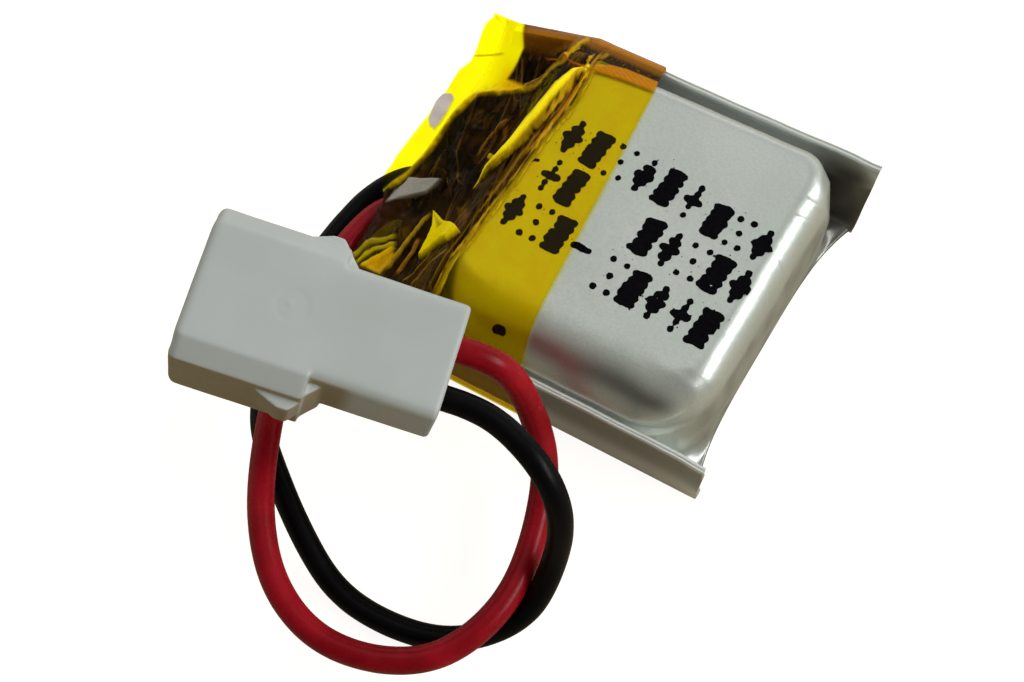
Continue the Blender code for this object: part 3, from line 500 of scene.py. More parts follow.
def cup_grid():
    """Rings from the middle of the face, down the wall, out over the seal and back underneath."""
    base, turn = cup_outline()
    c, s = np.cos(np.radians(turn)), np.sin(np.radians(turn))
    near = np.maximum(-s, 0) ** 2
    edge_r = (R_CLOSED * np.maximum(c, 0) ** 2 + R_TERMINAL * np.maximum(-c, 0) ** 2
              + R_FAR * np.maximum(s, 0) ** 2 + R_NEAR * near)
    edge_in = edge_r + (NEAR_REACH - R_NEAR) * near

    def ring(z, pull):
        """The cup's outline at these heights, pulled in by these amounts."""
        grow = near * (0.20 * smooth(5.3, 4.35, z) + 0.30 * smooth(4.22, 3.98, z)) - pull
        rise = np.clip(z / (CELL_T - edge_r), 0, 1)
        tuck = CUP_END_TUCK * (1 - rise) ** 2 * smooth(2.5, 6.5, base[:, 0])
        return np.column_stack([base[:, 0] + c * grow - tuck, base[:, 1] + s * grow, z])

    top = ring(np.full(len(base), CELL_T), edge_in)
    middle = np.array([(CUP_X0 + CUP_X1) / 2, 0.0, CELL_T])
    rings = [middle + (top - middle) * f for f in np.linspace(0.03, 1.0, 44)[:-1]]
    for k in range(19):
        a = math.radians(90 - 90 * k / 18)
        rings.append(ring(CELL_T - edge_r * (1 - math.sin(a)), edge_in * (1 - math.cos(a))))
    for f in np.linspace(0, 1, 46)[1:]:
        rings.append(ring((CELL_T - edge_r) * (1 - f) + 0.62 * f, 0.0))
    foot = rings[-1]
    skirt = np.array([skirt_point(x, y, t) for (x, y, _), t in zip(foot, turn)])
    for k in range(1, 12):
        t = k / 11
        out = foot + (skirt - foot) * t ** 1.2
        out[:, 2] = foot[:, 2] + (skirt[:, 2] - foot[:, 2]) * (1 - (1 - t) ** 2.6)
        rings.append(out)
    # Round the fold and back under: shift at the folded end, height.
    for shift, z in ((0.06, 0.08), (-0.03, 0.0)):
        low = skirt.copy()
        low[:, 0] += np.where(skirt[:, 0] > 6.5, shift, 0.0)
        low[:, 2] = z
        rings.append(low)
    centre = np.array([-0.4, 0.0, 0.0])
    rings += [centre + (low - centre) * f for f in (0.97, 0.85, 0.7, 0.5, 0.3, 0.1)]
    return np.array(rings)


def face_wave(points):
    """Unevenness of the laminate at three sizes."""
    return 0.030 * noise(points, 3.6, 11) + 0.012 * noise(points, 1.3, 12) + 0.004 * noise(points, 0.5, 13)


def face_dish(x, y):
    """Depth of the face's shallow dishing."""
    return (0.045 * smooth(0.0, 1.0, 1 - ((x - 1.4) / 5.6) ** 2)
            * smooth(0.0, 1.0, 1 - (y / 5.8) ** 2))


def near_drop(y):
    """How far the cup's near edge has rounded off."""
    return rounding(R_NEAR, (-y - (CUP_HALF_W - NEAR_REACH)) / NEAR_REACH)


def face_height(x, y):
    """Height of the cup's face, as shape_cup leaves it."""
    level = np.stack([x, y, np.full_like(x, CELL_T)], -1)
    return CELL_T + face_wave(level) - face_dish(x, y) - near_drop(y)


def shape_cup(grid):
    """Waves, dishing, creases and pressed facets."""
    around = np.roll(grid, -1, 1) - np.roll(grid, 1, 1)
    out = np.cross(np.gradient(grid, axis=0), around)
    out /= np.maximum(np.linalg.norm(out, axis=-1, keepdims=True), 1e-9)
    x, y, z = np.moveaxis(grid, -1, 0)
    upper = smooth(0.3, 1.2, z)
    wave = face_wave(grid) - face_dish(x, y) * (z > 5.5)
    closed = smooth(6.0, 7.3, x) * smooth(2.0, 4.5, z)
    for at, width, high in CREASES:
        off = y - (at + 0.25 * np.sin(2.1 * z + at))
        groove = np.exp(-(((off - 1.8 * width) / width) ** 2))
        wave += closed * high * (np.exp(-((off / width) ** 2)) - 0.6 * groove)
    crumple = facets(y, z, 0.9, 1.1, 0.5, 31)
    wave += 0.05 * smooth(6.9, 7.7, x) * crumple * smooth(5.6, 4.4, z) * upper
    grid = grid + out * (wave * upper)[..., None]
    for facing, depth in CORNER_FACETS:
        normal = np.array(facing) / math.hypot(*facing)
        high = grid @ normal
        excess = np.maximum(high - (high[30:80].max() - depth), 0) * smooth(1.2, 2.2, grid[..., 2])
        grid = grid - (excess * 0.92)[..., None] * normal
    return grid


def add_cup():
    grid = shape_cup(cup_grid())
    rows, cols = grid.shape[:2]
    verts = np.vstack([grid.reshape(-1, 3), grid[0].mean(0), grid[-1].mean(0)])
    faces = list(weave(rows, cols))
    last = (rows - 1) * cols
    for j in range(cols):
        k = (j + 1) % cols
        faces += [(j, k, rows * cols), (last + k, last + j, rows * cols + 1)]
    obj = make("pouch_cup", verts, faces, LAMINATE)
    # Painted light and shade: the laminate is painted lighter under the film and low on the near side; a
    # painted reflection of the leads darkens the rounded near side, red towards the terminal end; and
    # painted shade darkens the foot of the closed end and the far corner by the seal.
    x, y, z = verts.T
    off_wrap = x - (WRAP_X1 - WRAP_SKEW * y)
    # Painted lightening under the film's flat part
    painted_brightening = smooth(-0.04, -0.16, off_wrap) * smooth(5.0, 5.5, z)
    turned = np.degrees(np.arcsin(np.clip(1 - (CELL_T - z) / R_NEAR, 0, 1)))
    facing = np.degrees(np.arctan2(y + CUP_HALF_W - CORNERS[3],
                                   np.clip(x - (CUP_X1 - CORNERS[3]), 1e-3, None)))
    centre = 44 - 9 * smooth(-90, -45, facing) + 3 * flat_noise(x, y, 2.0, 161)
    # Painted reflection of the leads: a band along the rounded near side
    painted_lead_reflection = (np.exp(-(((turned - centre) / 15) ** 2)) * smooth(-4.0, -4.6, y)
              * smooth(-38, -64, facing) * (0.35 + 0.65 * smooth(-0.05, 0.25, off_wrap))
              * smooth(-3.0, -1.5, x))
    # Painted light low on the near side
    lower = smooth(14, 4, turned) * smooth(-6.0, -6.4, y) * smooth(0.1, 0.6, off_wrap)
    # Painted shade low on the closed end
    painted_closed_shade = (smooth(6.6, 7.5, x) * smooth(4.9, 3.9, z)
                   * (0.40 + 0.20 * flat_noise(y, z, 0.8, 162)))
    # Painted shade at the far corner of the closed end, by the seal
    corner = smooth(5.6, 6.5, x + 0.35 * (y - 6.0)) * smooth(4.4, 5.9, y) * smooth(5.3, 4.2, z)
    painted_reflection_shade = painted_lead_reflection * (0.40 + 0.28 * smooth(1.5, 4.5, x))
    paint(obj, "bright", np.maximum(0.38 * painted_brightening, 0.5 * lower))
    # The painted reflection turns red towards the terminal end
    paint(obj, "painted_red_reflection", 0.60 * painted_lead_reflection * smooth(4.2, 1.2, x))
    paint(obj, "shade", np.maximum(np.maximum(painted_reflection_shade, painted_closed_shade), 0.80 * corner))
    return obj


# Crest of a seal, where its two sheets part: y from the inner face, z from the seal's height
SEAL_CREST = (
    (-0.048, -0.060), (-0.025, -0.014), (0.020, 0.004), (0.085, 0.004), (0.112, -0.022),
    (0.122, -0.045), (0.133, -0.020), (0.165, 0.008), (0.210, -0.002), (0.236, -0.05))
SEAL_OUTER_FROM = 31  # section points from here on face away from the cup


def far_run(x):
    """0 to 1 where the far seal falls and straightens towards the terminal end."""
    return np.clip((-4.5 - x) / 3.9, 0, 1)


def seal_section(lean, high, bow):
    """(y, z) from the inner foot, over the crest and round the outer foot."""
    foot_y, thick = 6.86, 0.235

    def at(z, off):
        return foot_y + 0.02 + lean * (z / 4.45) ** bow + off

    points = [(foot_y - 0.25, 0.23), (foot_y - 0.08, 0.27), (at(0.45, -0.015), 0.45)]
    points += [(at(z, -0.05 * smooth(high - 0.7, high - 0.1, z)), z)
               for z in np.linspace(0.7, high - 0.12, 22)]
    points += [(at(high, off), high + rise) for off, rise in SEAL_CREST]
    points += [(at(z, thick), z) for z in np.linspace(high - 0.14, 0.7, 22)]
    return points + [
        (at(0.40, thick - 0.01), 0.40), (at(0.2, thick - 0.03), 0.22), (at(0, thick - 0.10), 0.09),
        (at(0, thick - 0.22), 0.015), (foot_y - 0.1, 0.0), (foot_y - 0.25, 0.0)]


def add_seal(name, side, seed):
    """A folded-up side seal: two bonded sheets, standing from the foot with a soft bend."""
    rows = []
    for x in SEAL_X0 + (EAR_X_BASE - SEAL_X0) * np.linspace(0, 1, 190):
        if side > 0:
            run = far_run(x)
            section = seal_section(FAR_LEAN - 0.50 * run, FAR_H - 0.82 * run, bow=1.7)
        else:
            section = seal_section(0.03, NEAR_H, bow=1.0)
        rows.append([(x, side * y, z) for y, z in section])
    grid = np.array(rows)
    # The end of the seal is cut on a slant and curls a little.
    x, z = grid[..., 0], grid[..., 2]
    s = (x - SEAL_X0) / (EAR_X_BASE - SEAL_X0)
    x += smooth(0.86, 1.0, s) * (EAR_X_TIP - EAR_X_BASE) * (z / FAR_H) * s
    push = 0.030 * noise(grid, 4.5, seed) + 0.012 * noise(grid, 1.2, seed + 1)
    push += 0.022 * smooth(3.9, 4.4, z) * noise(grid, 1.7, seed + 2)
    curl = 0.10 * np.sin(z * 2.6 + seed) + 0.05 * facets(x, z, 0.6, 0.5, 0.6, seed + 3)
    push += smooth(7.6, 8.8, x) * curl
    grid[..., 1] += push * smooth(0.3, 1.0, z) * side
    z += 0.018 * noise(grid, 2.4, seed + 5) * smooth(3.6, 4.3, z)
    obj = loft(name, grid, LAMINATE, sharp=55)
    # Painted light and shade: a painted highlight on the seal's cut crest, low on the near seal's outer
    # face and on the far seal's middle band; painted shade under the near crest, in the gap beside the cup
    # and inside the far ear.
    outer = np.zeros_like(z)
    outer[:, SEAL_OUTER_FROM:] = 1.0
    high = FAR_H if side > 0 else NEAR_H
    # Painted highlight along the crest
    crest_highlight = smooth(high - 0.16, high - 0.06, z)
    if side < 0:
        # Painted shade under the near crest, painted light low on its outer face
        under = (outer * smooth(high - 0.10, high - 0.28, z) * smooth(0.8, 3.2, z)
                 * smooth(-1.5, 1.0, x))
        shade = 0.55 * under * (1 - crest_highlight)
        bright = np.maximum(0.9 * crest_highlight, 0.8 * outer * smooth(2.8, 1.2, z))
    else:
        # Painted shade in the gap and inside the ear, painted light on the middle band
        gap = (1 - outer) * smooth(3.45, 2.90, z)
        band = (1 - outer) * smooth(3.1, 3.5, z) * smooth(high - 0.15, high - 0.35, z)
        painted_ear_shade = ((1 - outer) * smooth(5.6, 7.6, x) * smooth(high + 0.2, high - 1.1, z)
               * smooth(9.3, 7.9, x))
        shade = 0.85 * np.maximum(gap, painted_ear_shade) * (1 - crest_highlight)
        bright = np.maximum(0.6 * crest_highlight, 0.9 * band) * (1 - painted_ear_shade)
    paint(obj, "shade", shade.ravel())
    paint(obj, "bright", bright.ravel())
    return obj


def add_near_seal():
    return add_seal("pouch_seal_near", side=-1, seed=41)


def add_far_seal():
    return add_seal("pouch_seal_far", side=1, seed=51)


# ---------------------------------------------------------------- tape: layout

# Where the face's terminal-side edge runs, and the outline of the film's free end: (y, x)
FACE_EDGE = (
    (-7.2, -4.05), (-5.48, -3.96), (-4.58, -3.96), (-3.53, -3.85), (-2.17, -3.75), (-0.37, -3.61),
    (1.84, -3.52), (3.33, -3.30), (4.47, -3.32), (5.52, -3.41), (8.2, -3.60))
FREE_END = (
    (-7.2, -9.55), (-5.43, -9.51), (-4.46, -9.59), (-2.10, -9.72), (-1.18, -10.40), (0.20, -10.52),
    (2.19, -10.39), (3.83, -10.26), (5.19, -10.31), (5.80, -10.05), (7.42, -10.23), (7.74, -9.90),
    (8.2, -9.85))

# Lines and borders on the film's upper side: (x, y)
MAIN_FOLD = (
    (-3.70, 5.75), (-3.90, 5.10), (-4.10, 4.30), (-4.22, 3.60), (-4.32, 2.90), (-4.42, 2.30),
    (-4.50, 1.80), (-4.58, 1.20), (-4.72, 0.65), (-4.92, 0.20), (-5.20, -0.20), (-5.60, -0.60))
# Rope-like pleat: line, half width
PLEATS = (
    (((-5.11, 7.50), (-4.98, 6.62), (-5.05, 5.89)), 0.22),
    (((-5.05, 5.78), (-5.75, 5.60), (-6.35, 5.38), (-6.65, 5.20)), 0.27))
# Line, half width, height, tint
THIN_FOLDS = (
    (((-6.95, 6.71), (-6.45, 6.58), (-5.90, 6.40), (-5.10, 5.90), (-4.30, 5.62), (-3.58, 5.66),
      (-3.00, 5.72), (-2.17, 5.84), (-1.60, 5.88), (-0.96, 5.91)), 0.045, 0.035, (0.42, 0.10, 0.005)),
    (((-6.73, 3.59), (-6.89, 3.01), (-7.06, 2.29), (-7.07, 1.73), (-7.01, 1.32)),
     0.07, 0.16, (0.40, 0.17, 0.02)),
    (((-6.57, 1.56), (-5.60, 0.80), (-5.00, 0.20)), 0.10, 0.18, (0.80, 0.58, 0.02)),
    (((-9.52, -5.20), (-9.10, -4.26), (-8.08, -3.41)), 0.12, 0.16, (0.55, 0.44, 0.01)),
    (((-9.19, -5.35), (-8.77, -4.44), (-7.92, -3.72)), 0.10, 0.13, (0.75, 0.60, 0.01)),
    (((-8.80, -5.43), (-8.35, -4.58), (-7.86, -3.90)), 0.11, 0.13, (0.85, 0.62, 0.01)),
    (((-7.67, -5.25), (-7.61, -3.32), (-7.39, -1.75)), 0.09, 0.20, (0.62, 0.40, 0.02)),
    (((-7.14, -5.10), (-7.12, -3.75), (-7.25, -3.07)), 0.10, 0.16, (0.45, 0.20, 0.02)),
    (((-6.60, -5.40), (-6.20, -4.60), (-5.70, -3.90)), 0.07, 0.12, (0.35, 0.20, 0.02)),
    (((-5.60, -5.80), (-5.00, -4.90), (-4.40, -4.10)), 0.05, 0.10, (0.38, 0.20, 0.02)),
    (((-3.86, 7.27), (-3.51, 5.55), (-3.59, 4.67), (-3.55, 3.53), (-3.66, 2.40), (-3.80, 1.50),
      (-3.95, 0.76)), 0.06, 0.07, (0.50, 0.22, 0.01)),
    (((-4.05, 6.90), (-3.72, 5.60), (-3.80, 4.50), (-3.90, 3.40), (-4.00, 2.40)),
     0.05, 0.06, (0.62, 0.36, 0.01)),
    (((-8.60, 6.30), (-9.40, 6.05), (-10.15, 5.80)), 0.03, 0.03, (0.70, 0.50, 0.0)),
)
TRIANGLE = ((-7.20, -1.88), (-6.77, -2.04), (-5.30, -2.95), (-4.40, -3.34), (-4.75, -3.85),
            (-6.55, -4.08), (-6.62, -3.30), (-6.75, -2.67))
TRIANGLE_HOLLOW = ((-6.90, -2.15), (-5.75, -2.85), (-6.15, -2.90))
ORANGE_PATCH = ((-8.88, -5.34), (-8.16, -4.08), (-7.75, -4.23), (-7.78, -5.37))
# Flat facets painted grey as glare, the film's reflection: border, tint
GLARES = (
    (((-10.18, 2.18), (-10.36, 3.12), (-10.26, 3.56), (-9.87, 3.71), (-9.64, 3.51), (-9.55, 2.87),
      (-9.54, 2.20), (-9.60, 1.79), (-9.93, 1.89)), (0.62, 0.55, 0.52)),
    (((-9.29, -0.79), (-7.89, -0.26), (-7.90, -0.56), (-8.11, -1.13), (-9.12, -1.86),
      (-9.55, -2.25), (-9.46, -1.67), (-9.33, -1.13)), (0.68, 0.66, 0.60)))
BROWN_PATCHES = (
    ((-6.34, -1.32), (-4.96, -2.06), (-4.50, -2.48), (-4.60, -2.70), (-5.09, -2.53)),
    ((-6.79, 3.03), (-6.61, 3.26), (-5.70, 2.00), (-5.95, 1.98)))
TAIL = (
    (-8.12, 8.6), (-8.12, 7.32), (-7.83, 6.69), (-7.84, 6.12), (-7.92, 5.30), (-6.85, 5.20),
    (-7.28, 4.84), (-8.15, 4.51), (-8.87, 4.06), (-9.16, 3.59), (-9.25, 2.94), (-9.30, 1.83),
    (-9.30, 0.76), (-9.45, -0.47), (-10.03, -1.77), (-11.5, -1.9), (-11.5, 8.6))
TAIL_SPECKS = ((-9.25, 2.94), (-9.16, 3.59), (-8.87, 4.06), (-8.15, 4.51), (-7.28, 4.84))
TAIL_LIP = ((-6.55, 5.12), (-7.28, 4.84), (-8.15, 4.51), (-8.87, 4.06), (-9.20, 3.50),
            (-9.30, 2.6), (-9.30, 0.8), (-9.45, -0.4), (-9.8, -1.4))
PALE_PATCHES = (
    ((-10.60, 7.60), (-9.84, 7.62), (-9.46, 6.11), (-10.60, 5.70)),
    ((-10.25, 3.28), (-10.75, 2.26), (-10.77, 1.13), (-10.68, -0.64), (-10.06, -0.77),
     (-10.10, 0.76), (-10.12, 2.09)))
ORANGE_BAND = ((-3.49, 5.65), (-3.42, 5.91), (-2.96, 6.38), (-2.31, 6.56), (-0.70, 6.62),
               (-0.70, 5.93), (-2.17, 5.84), (-3.00, 5.72))
DOTTED_WRINKLE = ((-2.85, 5.50), (-2.04, 5.38), (-0.97, 5.36))

# Crumple layers: facet size along and across, turn in radians, seed
CRUMPLES = (
    (0.62, 1.55, 0.22, 101),   # big
    (0.30, 0.75, 0.12, 102),   # middle
    (0.14, 0.36, 0.35, 103),   # fine
    (0.95, 0.42, -0.35, 104),  # cross
    (1.4, 1.1, 0.5, 105),      # free end
    (0.16, 0.55, 0.05, 109),   # strip along the face's edge
    (0.15, 1.15, 0.06, 127),   # long folds beside that edge
)
# Hairlines beside the face's edge: offset, half width, tint, weight
HAIRLINES = (
    (-0.16, 0.030, (0.85, 0.52, 0.01), 0.75), (0.045, 0.022, (0.10, 0.05, 0.0), 0.7),
    (0.10, 0.022, (0.95, 0.70, 0.02), 0.6), (-0.42, 0.03, (0.50, 0.26, 0.01), 0.6))

# Heights and bends of the film's inner surface
FILM_Z = CELL_T + 0.035
FILM_BEND = 0.85
BEND_X = -4.1
NEAR_RIM_Y, FAR_RIM_Y = -7.15, 7.18 + FAR_LEAN


def far_rim(x):
    """(y, z) of the film over the far seal's crest."""
    run = far_run(x)
    fall = np.clip((-8.4 - x) / 1.2, 0, 1)
    return FAR_RIM_Y - 0.50 * run + 0.23 * fall, 4.57 - 0.70 * run - 0.50 * fall


def near_rim(x):
    """(y, z) of the film over the near seal's crest."""
    return NEAR_RIM_Y + 0 * x, 4.47 - 1.6 * np.clip((-8.4 - x) / 1.2, 0, 1)


def ridge_line(x):
    """Height of the film along the pack's middle: round the cup's edge, a slope, then flatter."""
    arc = FILM_Z - rounding(FILM_BEND, (BEND_X - x) / FILM_BEND)
    length = 2.26
    t = np.clip((-4.64 - x) / length, 0, 1)
    from_high = (2 * t**3 - 3 * t**2 + 1) * 5.841 + (t**3 - 2 * t**2 + t) * length * -0.82
    to_low = (-2 * t**3 + 3 * t**2) * 2.80 + (t**3 - t**2) * length * -0.25
    flat = 2.80 - 0.17 * (-6.9 - x)
    return np.where(x > -4.64, arc, np.where(x > -6.9, from_high + to_low, flat))


def tape_top(x, y):
    """Height of the film's inner surface over the cup, the board and the free end."""
    off_cup = smooth(-4.2, -6.2, x)
    middle = ridge_line(x)
    out_y = np.abs(y)
    heights = []
    # Rim, bend radius, how far in the bend reaches, where the film leaves the cup
    for (rim_y, rim_z), radius, reach, leave in (
            (near_rim(x), R_NEAR, NEAR_REACH, 6.0), (far_rim(x), FILM_BEND, FILM_BEND, 6.20)):
        foot = CUP_HALF_W - reach
        arc = FILM_Z - rounding(radius, np.clip(out_y - foot, 0, leave - foot) / reach)
        last = FILM_Z - rounding(radius, (leave - foot) / reach)
        beyond = np.clip((out_y - leave) / (np.abs(rim_y) - leave), 0, 1)
        full = FILM_Z - rim_z
        cup = np.where(out_y < leave, (arc - rim_z) / full, (last - rim_z) / full * (1 - beyond))
        sag = 1 - (1 - np.clip((np.abs(rim_y) - out_y) / 2.6, 0, 1)) ** 2.2
        heights.append(rim_z + (middle - rim_z) * (cup * (1 - off_cup) + sag * off_cup))
    return np.where(y < 0, *heights)


def beneath(x, y):
    """Height of what lies under the loose film: cup's edge, board with chips, seals' crests."""
    far_drop = rounding(R_FAR, (y - (CUP_HALF_W - R_FAR)) / R_FAR)
    edge = CELL_T - rounding(R_TERMINAL, (BEND_X - x) / R_TERMINAL) - (near_drop(y) + far_drop)
    cup = np.where(x > -5.05, edge, 2.2)
    cup = np.where(np.abs(y) > 6.45, 1.0, cup)
    cup = np.where(x < -8.9, 1.2, cup)
    run = far_run(x)

    def crest(high, off):
        return high + 0.04 - 1.6 * np.maximum(np.abs(off) - 0.20, 0)

    far = crest(FAR_H - 0.82 * run, y - (6.99 + FAR_LEAN - 0.50 * run))
    crests_z = np.maximum(far, crest(NEAR_H, -y - 7.01))
    return np.maximum(cup, np.where(x > -8.5, crests_z, 0))


# ---------------------------------------------------------------- tape: upper side

class Film:
    """The film's upper side: height added, tint, clearness, see-through colour and a painted glow."""

    def __init__(self, x, y):
        self.x, self.y = x, y
        self.edge = x - np.interp(y, *np.transpose(FACE_EDGE))
        self.flat = smooth(-0.10, 0.06, self.edge)
        self.loose = smooth(0.05, -1.1, self.edge)
        self.tail = inside(x, y, TAIL, 0.10)
        self.band = inside(x, y, ORANGE_BAND, 0.05)
        self.high, self.clear, self.glow = 0 * x, 0.05 + 0 * x, 0 * x
        self.tint = np.zeros(x.shape + (3,)) + (0.006, 0.003, 0.0012)
        self.through = np.zeros(x.shape + (3,)) + (1.0, 0.918, 0.004)

    def lumps(self, size, seed):
        return flat_noise(self.x, self.y, size, seed)

    # Lays a colour over the tint: the film's own colours and painted light and shade alike
    def paint_colour_and_light(self, color, mask):
        self.tint = over(self.tint, color, mask)

    def cover(self, mask, **values):
        """Puts new values of high, clear or glow where the mask says."""
        for name, value in values.items():
            setattr(self, name, getattr(self, name) * (1 - mask) + value * mask)


def crests(height, share):
    """Where the folds of a height stand up, thin and crisp."""
    rise = height * 4
    for axis in (0, 1):
        rise = rise - np.roll(height, 1, axis) - np.roll(height, -1, axis)
    top = np.percentile(rise[4:-4, 4:-4], share)
    return np.clip(rise / max(top, 1e-6), 0, 1) ** 0.8


def tone(height):
    """How each facet leans, in -1..1."""
    a, b = np.gradient(height)
    lean = a * 0.6 + b
    return np.clip(lean / (1.6 * np.std(lean) + 1e-9), -1, 1)


def crumple_film(film):
    """The dark crumpled part, with painted highlights along its fold crests and painted shading on its
    facets by how each leans.
    """
    x, y, edge, lumps, paint_colour_and_light = film.x, film.y, film.edge, film.lumps, film.paint_colour_and_light
    big, middle, fine, cross, end, strip, long = (facets(x, y, *row) for row in CRUMPLES)
    inland = 0.35 + 0.65 * np.minimum(smooth(7.15, 6.5, -y), smooth(7.9, 7.0, y))
    folds = 0.20 * big + 0.085 * middle + 0.030 * fine + 0.06 * cross
    film.crumple = film.loose * folds * inland * (1 - 0.80 * film.tail)
    film.high = film.crumple + film.tail * (0.05 * end + 0.03 * lumps(0.9, 106))
    # Stray air and dust under the flat part, and small wrinkles along its terminal edge.
    film.high += film.flat * (0.006 * lumps(1.6, 107) + 0.003 * lumps(0.35, 108))
    film.high += smooth(-0.42, -0.05, edge) * smooth(0.20, 0.0, edge) * 0.05 * strip
    beside = smooth(0.10, -0.25, edge) * smooth(-1.9, -1.0, edge)
    film.high += beside * 0.07 * long * inland

    # Painted shading: facets darker and lighter by how they lean
    paint_colour_and_light((0.060, 0.024, 0.004), smooth(-0.1, 0.9, tone(big + 0.45 * middle)))
    paint_colour_and_light((0.20, 0.095, 0.008),
          smooth(0.6, 1.0, tone(middle + 0.4 * fine)) * smooth(0.0, 0.5, lumps(1.0, 110)) * 0.7)
    paint_colour_and_light((0.34, 0.20, 0.012), smooth(0.6, 1.0, tone(big)) * smooth(0.15, 0.55, lumps(0.8, 111)) * 0.6)
    # Painted highlights along the fold crests
    where = smooth(-0.15, 0.45, lumps(0.75, 112))
    paint_colour_and_light((0.42, 0.22, 0.020), crests(big, 99.2) * (0.35 + 0.65 * where) * 0.85)
    paint_colour_and_light((0.30, 0.14, 0.014), crests(middle, 99.3) * where * 0.55)
    paint_colour_and_light((0.22, 0.10, 0.010), crests(fine, 98.5) * smooth(0.1, 0.6, lumps(1.2, 113)) * 0.22)
    paint_colour_and_light((0.40, 0.22, 0.012), crests(long, 99.3) * beside * 0.55)
    # Painted shading on the long folds by how they lean
    paint_colour_and_light((0.16, 0.075, 0.006), smooth(0.3, 1.0, tone(long)) * beside * 0.6)
    paint_colour_and_light((0.004, 0.002, 0.001), smooth(0.05, 0.45, lumps(1.25, 128)) * 0.85)

    # The lower part near the leads is browner and lets more through.
    lower = smooth(-0.2, -2.6, y) * film.loose
    paint_colour_and_light((0.12, 0.060, 0.005), lower * 0.40 * smooth(-0.4, 0.5, lumps(0.9, 114)))
    paint_colour_and_light((0.05, 0.012, 0.005),
          smooth(-8.1, -8.9, x) * smooth(-1.6, -2.3, y) * smooth(-4.6, -3.9, y) * 0.8)
    film.clear = film.clear + lower * 0.12


def tint_far_side(film):
    """Over the far seal's crest, with a painted glare along it, the valley beside the cup and the orange
    band.
    """
    x, y, paint_colour_and_light = film.x, film.y, film.paint_colour_and_light
    off_rim = far_rim(x)[0] - y
    valley = smooth(6.25, 6.55, y) * smooth(-8.3, -7.7, x)
    paint_colour_and_light((0.030, 0.014, 0.004), valley)
    paint_colour_and_light((0.30, 0.115, 0.006), valley * smooth(1.05, 0.60, off_rim))
    paint_colour_and_light((0.60, 0.240, 0.016), valley * smooth(0.55, 0.28, off_rim))
    # A painted pale glare along the crest
    paint_colour_and_light((0.62, 0.34, 0.28), valley * smooth(0.16, 0.04, off_rim) * 0.8)
    speckle = smooth(0.35, 0.8, film.lumps(0.10, 115)) * smooth(0.2, 0.9, off_rim)
    paint_colour_and_light((0.36, 0.17, 0.02), valley * speckle * 0.5)
    film.cover(valley, clear=0.10)
    paint_colour_and_light((0.86, 0.34, 0.004), film.band)
    stripes = 0.5 + 0.5 * np.sin((x * 0.55 + y) * 31 + 2.0 * film.lumps(0.7, 116))
    paint_colour_and_light((0.62, 0.18, 0.003), film.band * stripes * 0.5)
    film.cover(film.band, clear=0.25)
    film.high = film.high + film.band * 0.03


def tint_free_end(film):
    """Film on film, seen against what lies behind it, with a painted glow for light from behind and a
    rounded golden lip as border.
    """
    x, y, tail = film.x, film.y, film.tail
    warm = smooth(-8.9, -7.4, x) * smooth(6.4, 5.4, y)
    yellow = over((1.0, 0.92, 0.0), (0.92, 0.50, 0.0), warm)
    off_specks = np.abs(to_line(x, y, TAIL_SPECKS)[0] - 0.25)
    dots = smooth(0.1, 0.6, film.lumps(0.13, 117)) * smooth(0.9, 0.2, off_specks * 3)
    film.paint_colour_and_light(over(yellow, (0.55, 0.40, 0.0), dots * 0.55), tail)
    film.cover(tail, clear=smooth(-8.85, -9.25, x))
    # Painted glow for the light through the film from behind
    film.glow = film.glow + 0.52 * tail * (1 - 0.45 * warm)
    through = over(film.through, (1.0, 0.992, 0.0), tail)
    for patch in PALE_PATCHES:
        through = over(through, (1.0, 1.0, 0.70), inside(x, y, patch, 0.12))
    amber = smooth(0.25, 0.75, film.lumps(1.1, 118)) * tail * 0.6
    film.through = over(through, (1.0, 0.955, 0.0), amber)
    gap, _ = to_line(x, y, TAIL_LIP)
    film.high = film.high + 0.08 * np.exp(-((gap / 0.16) ** 2))
    # The lip's gold, with a painted glow
    lip_gold_and_glow = np.clip(smooth(0.30, 0.05, gap) * (0.75 + 0.5 * film.lumps(0.2, 119)), 0, 1)
    film.paint_colour_and_light((0.82, 0.54, 0.0), lip_gold_and_glow * 0.9)
    film.cover(lip_gold_and_glow, glow=0.28)


def raise_main_fold(film):
    """A standing loop of film, lit from behind: a painted glow, a painted highlight along its middle and a
    painted shadow round it.
    """
    gap, along = to_line(film.x, film.y, MAIN_FOLD)
    swell = np.sin(np.pi * np.clip(along * 0.95 + 0.05, 0, 1)) ** 0.8
    width = 0.13 + 0.17 * swell + 0.03 * film.lumps(0.35, 120)
    gap_share = gap / width
    body = smooth(1.0, 0.55, gap_share)
    ends = smooth(0.0, 0.12, along) * smooth(1.0, 0.9, along)
    film.cover(body, high=0.25 * film.crumple)
    film.high += 0.62 * np.sqrt(np.clip(1 - (gap / (width * 1.15)) ** 2, 0, 1)) * ends
    gold = over((0.92, 0.72, 0.0), (0.55, 0.36, 0.0), smooth(0.2, 0.8, film.lumps(0.5, 121)) * 0.6)
    # Painted highlight along the middle of the fold
    gold = over(gold, (0.99, 0.88, 0.02), smooth(0.5, 0.0, gap_share) * 0.7)
    # Painted shadow round the fold
    film.paint_colour_and_light((0, 0, 0), smooth(1.9, 1.2, gap_share) * (1 - film.flat) * 0.6)
    film.paint_colour_and_light(gold, body)
    # Painted glow for light through the fold
    film.cover(body, clear=0, glow=0.10 + 0.32 * smooth(0.8, 0.1, gap_share))
    ragged = smooth(1.5, 1.0, gap_share + 0.35 * film.lumps(0.16, 122))
    ragged = ragged * (1 - film.flat) * (film.x < -4.0)
    film.paint_colour_and_light((0.70, 0.42, 0.01), ragged * (1 - body) * 0.5)


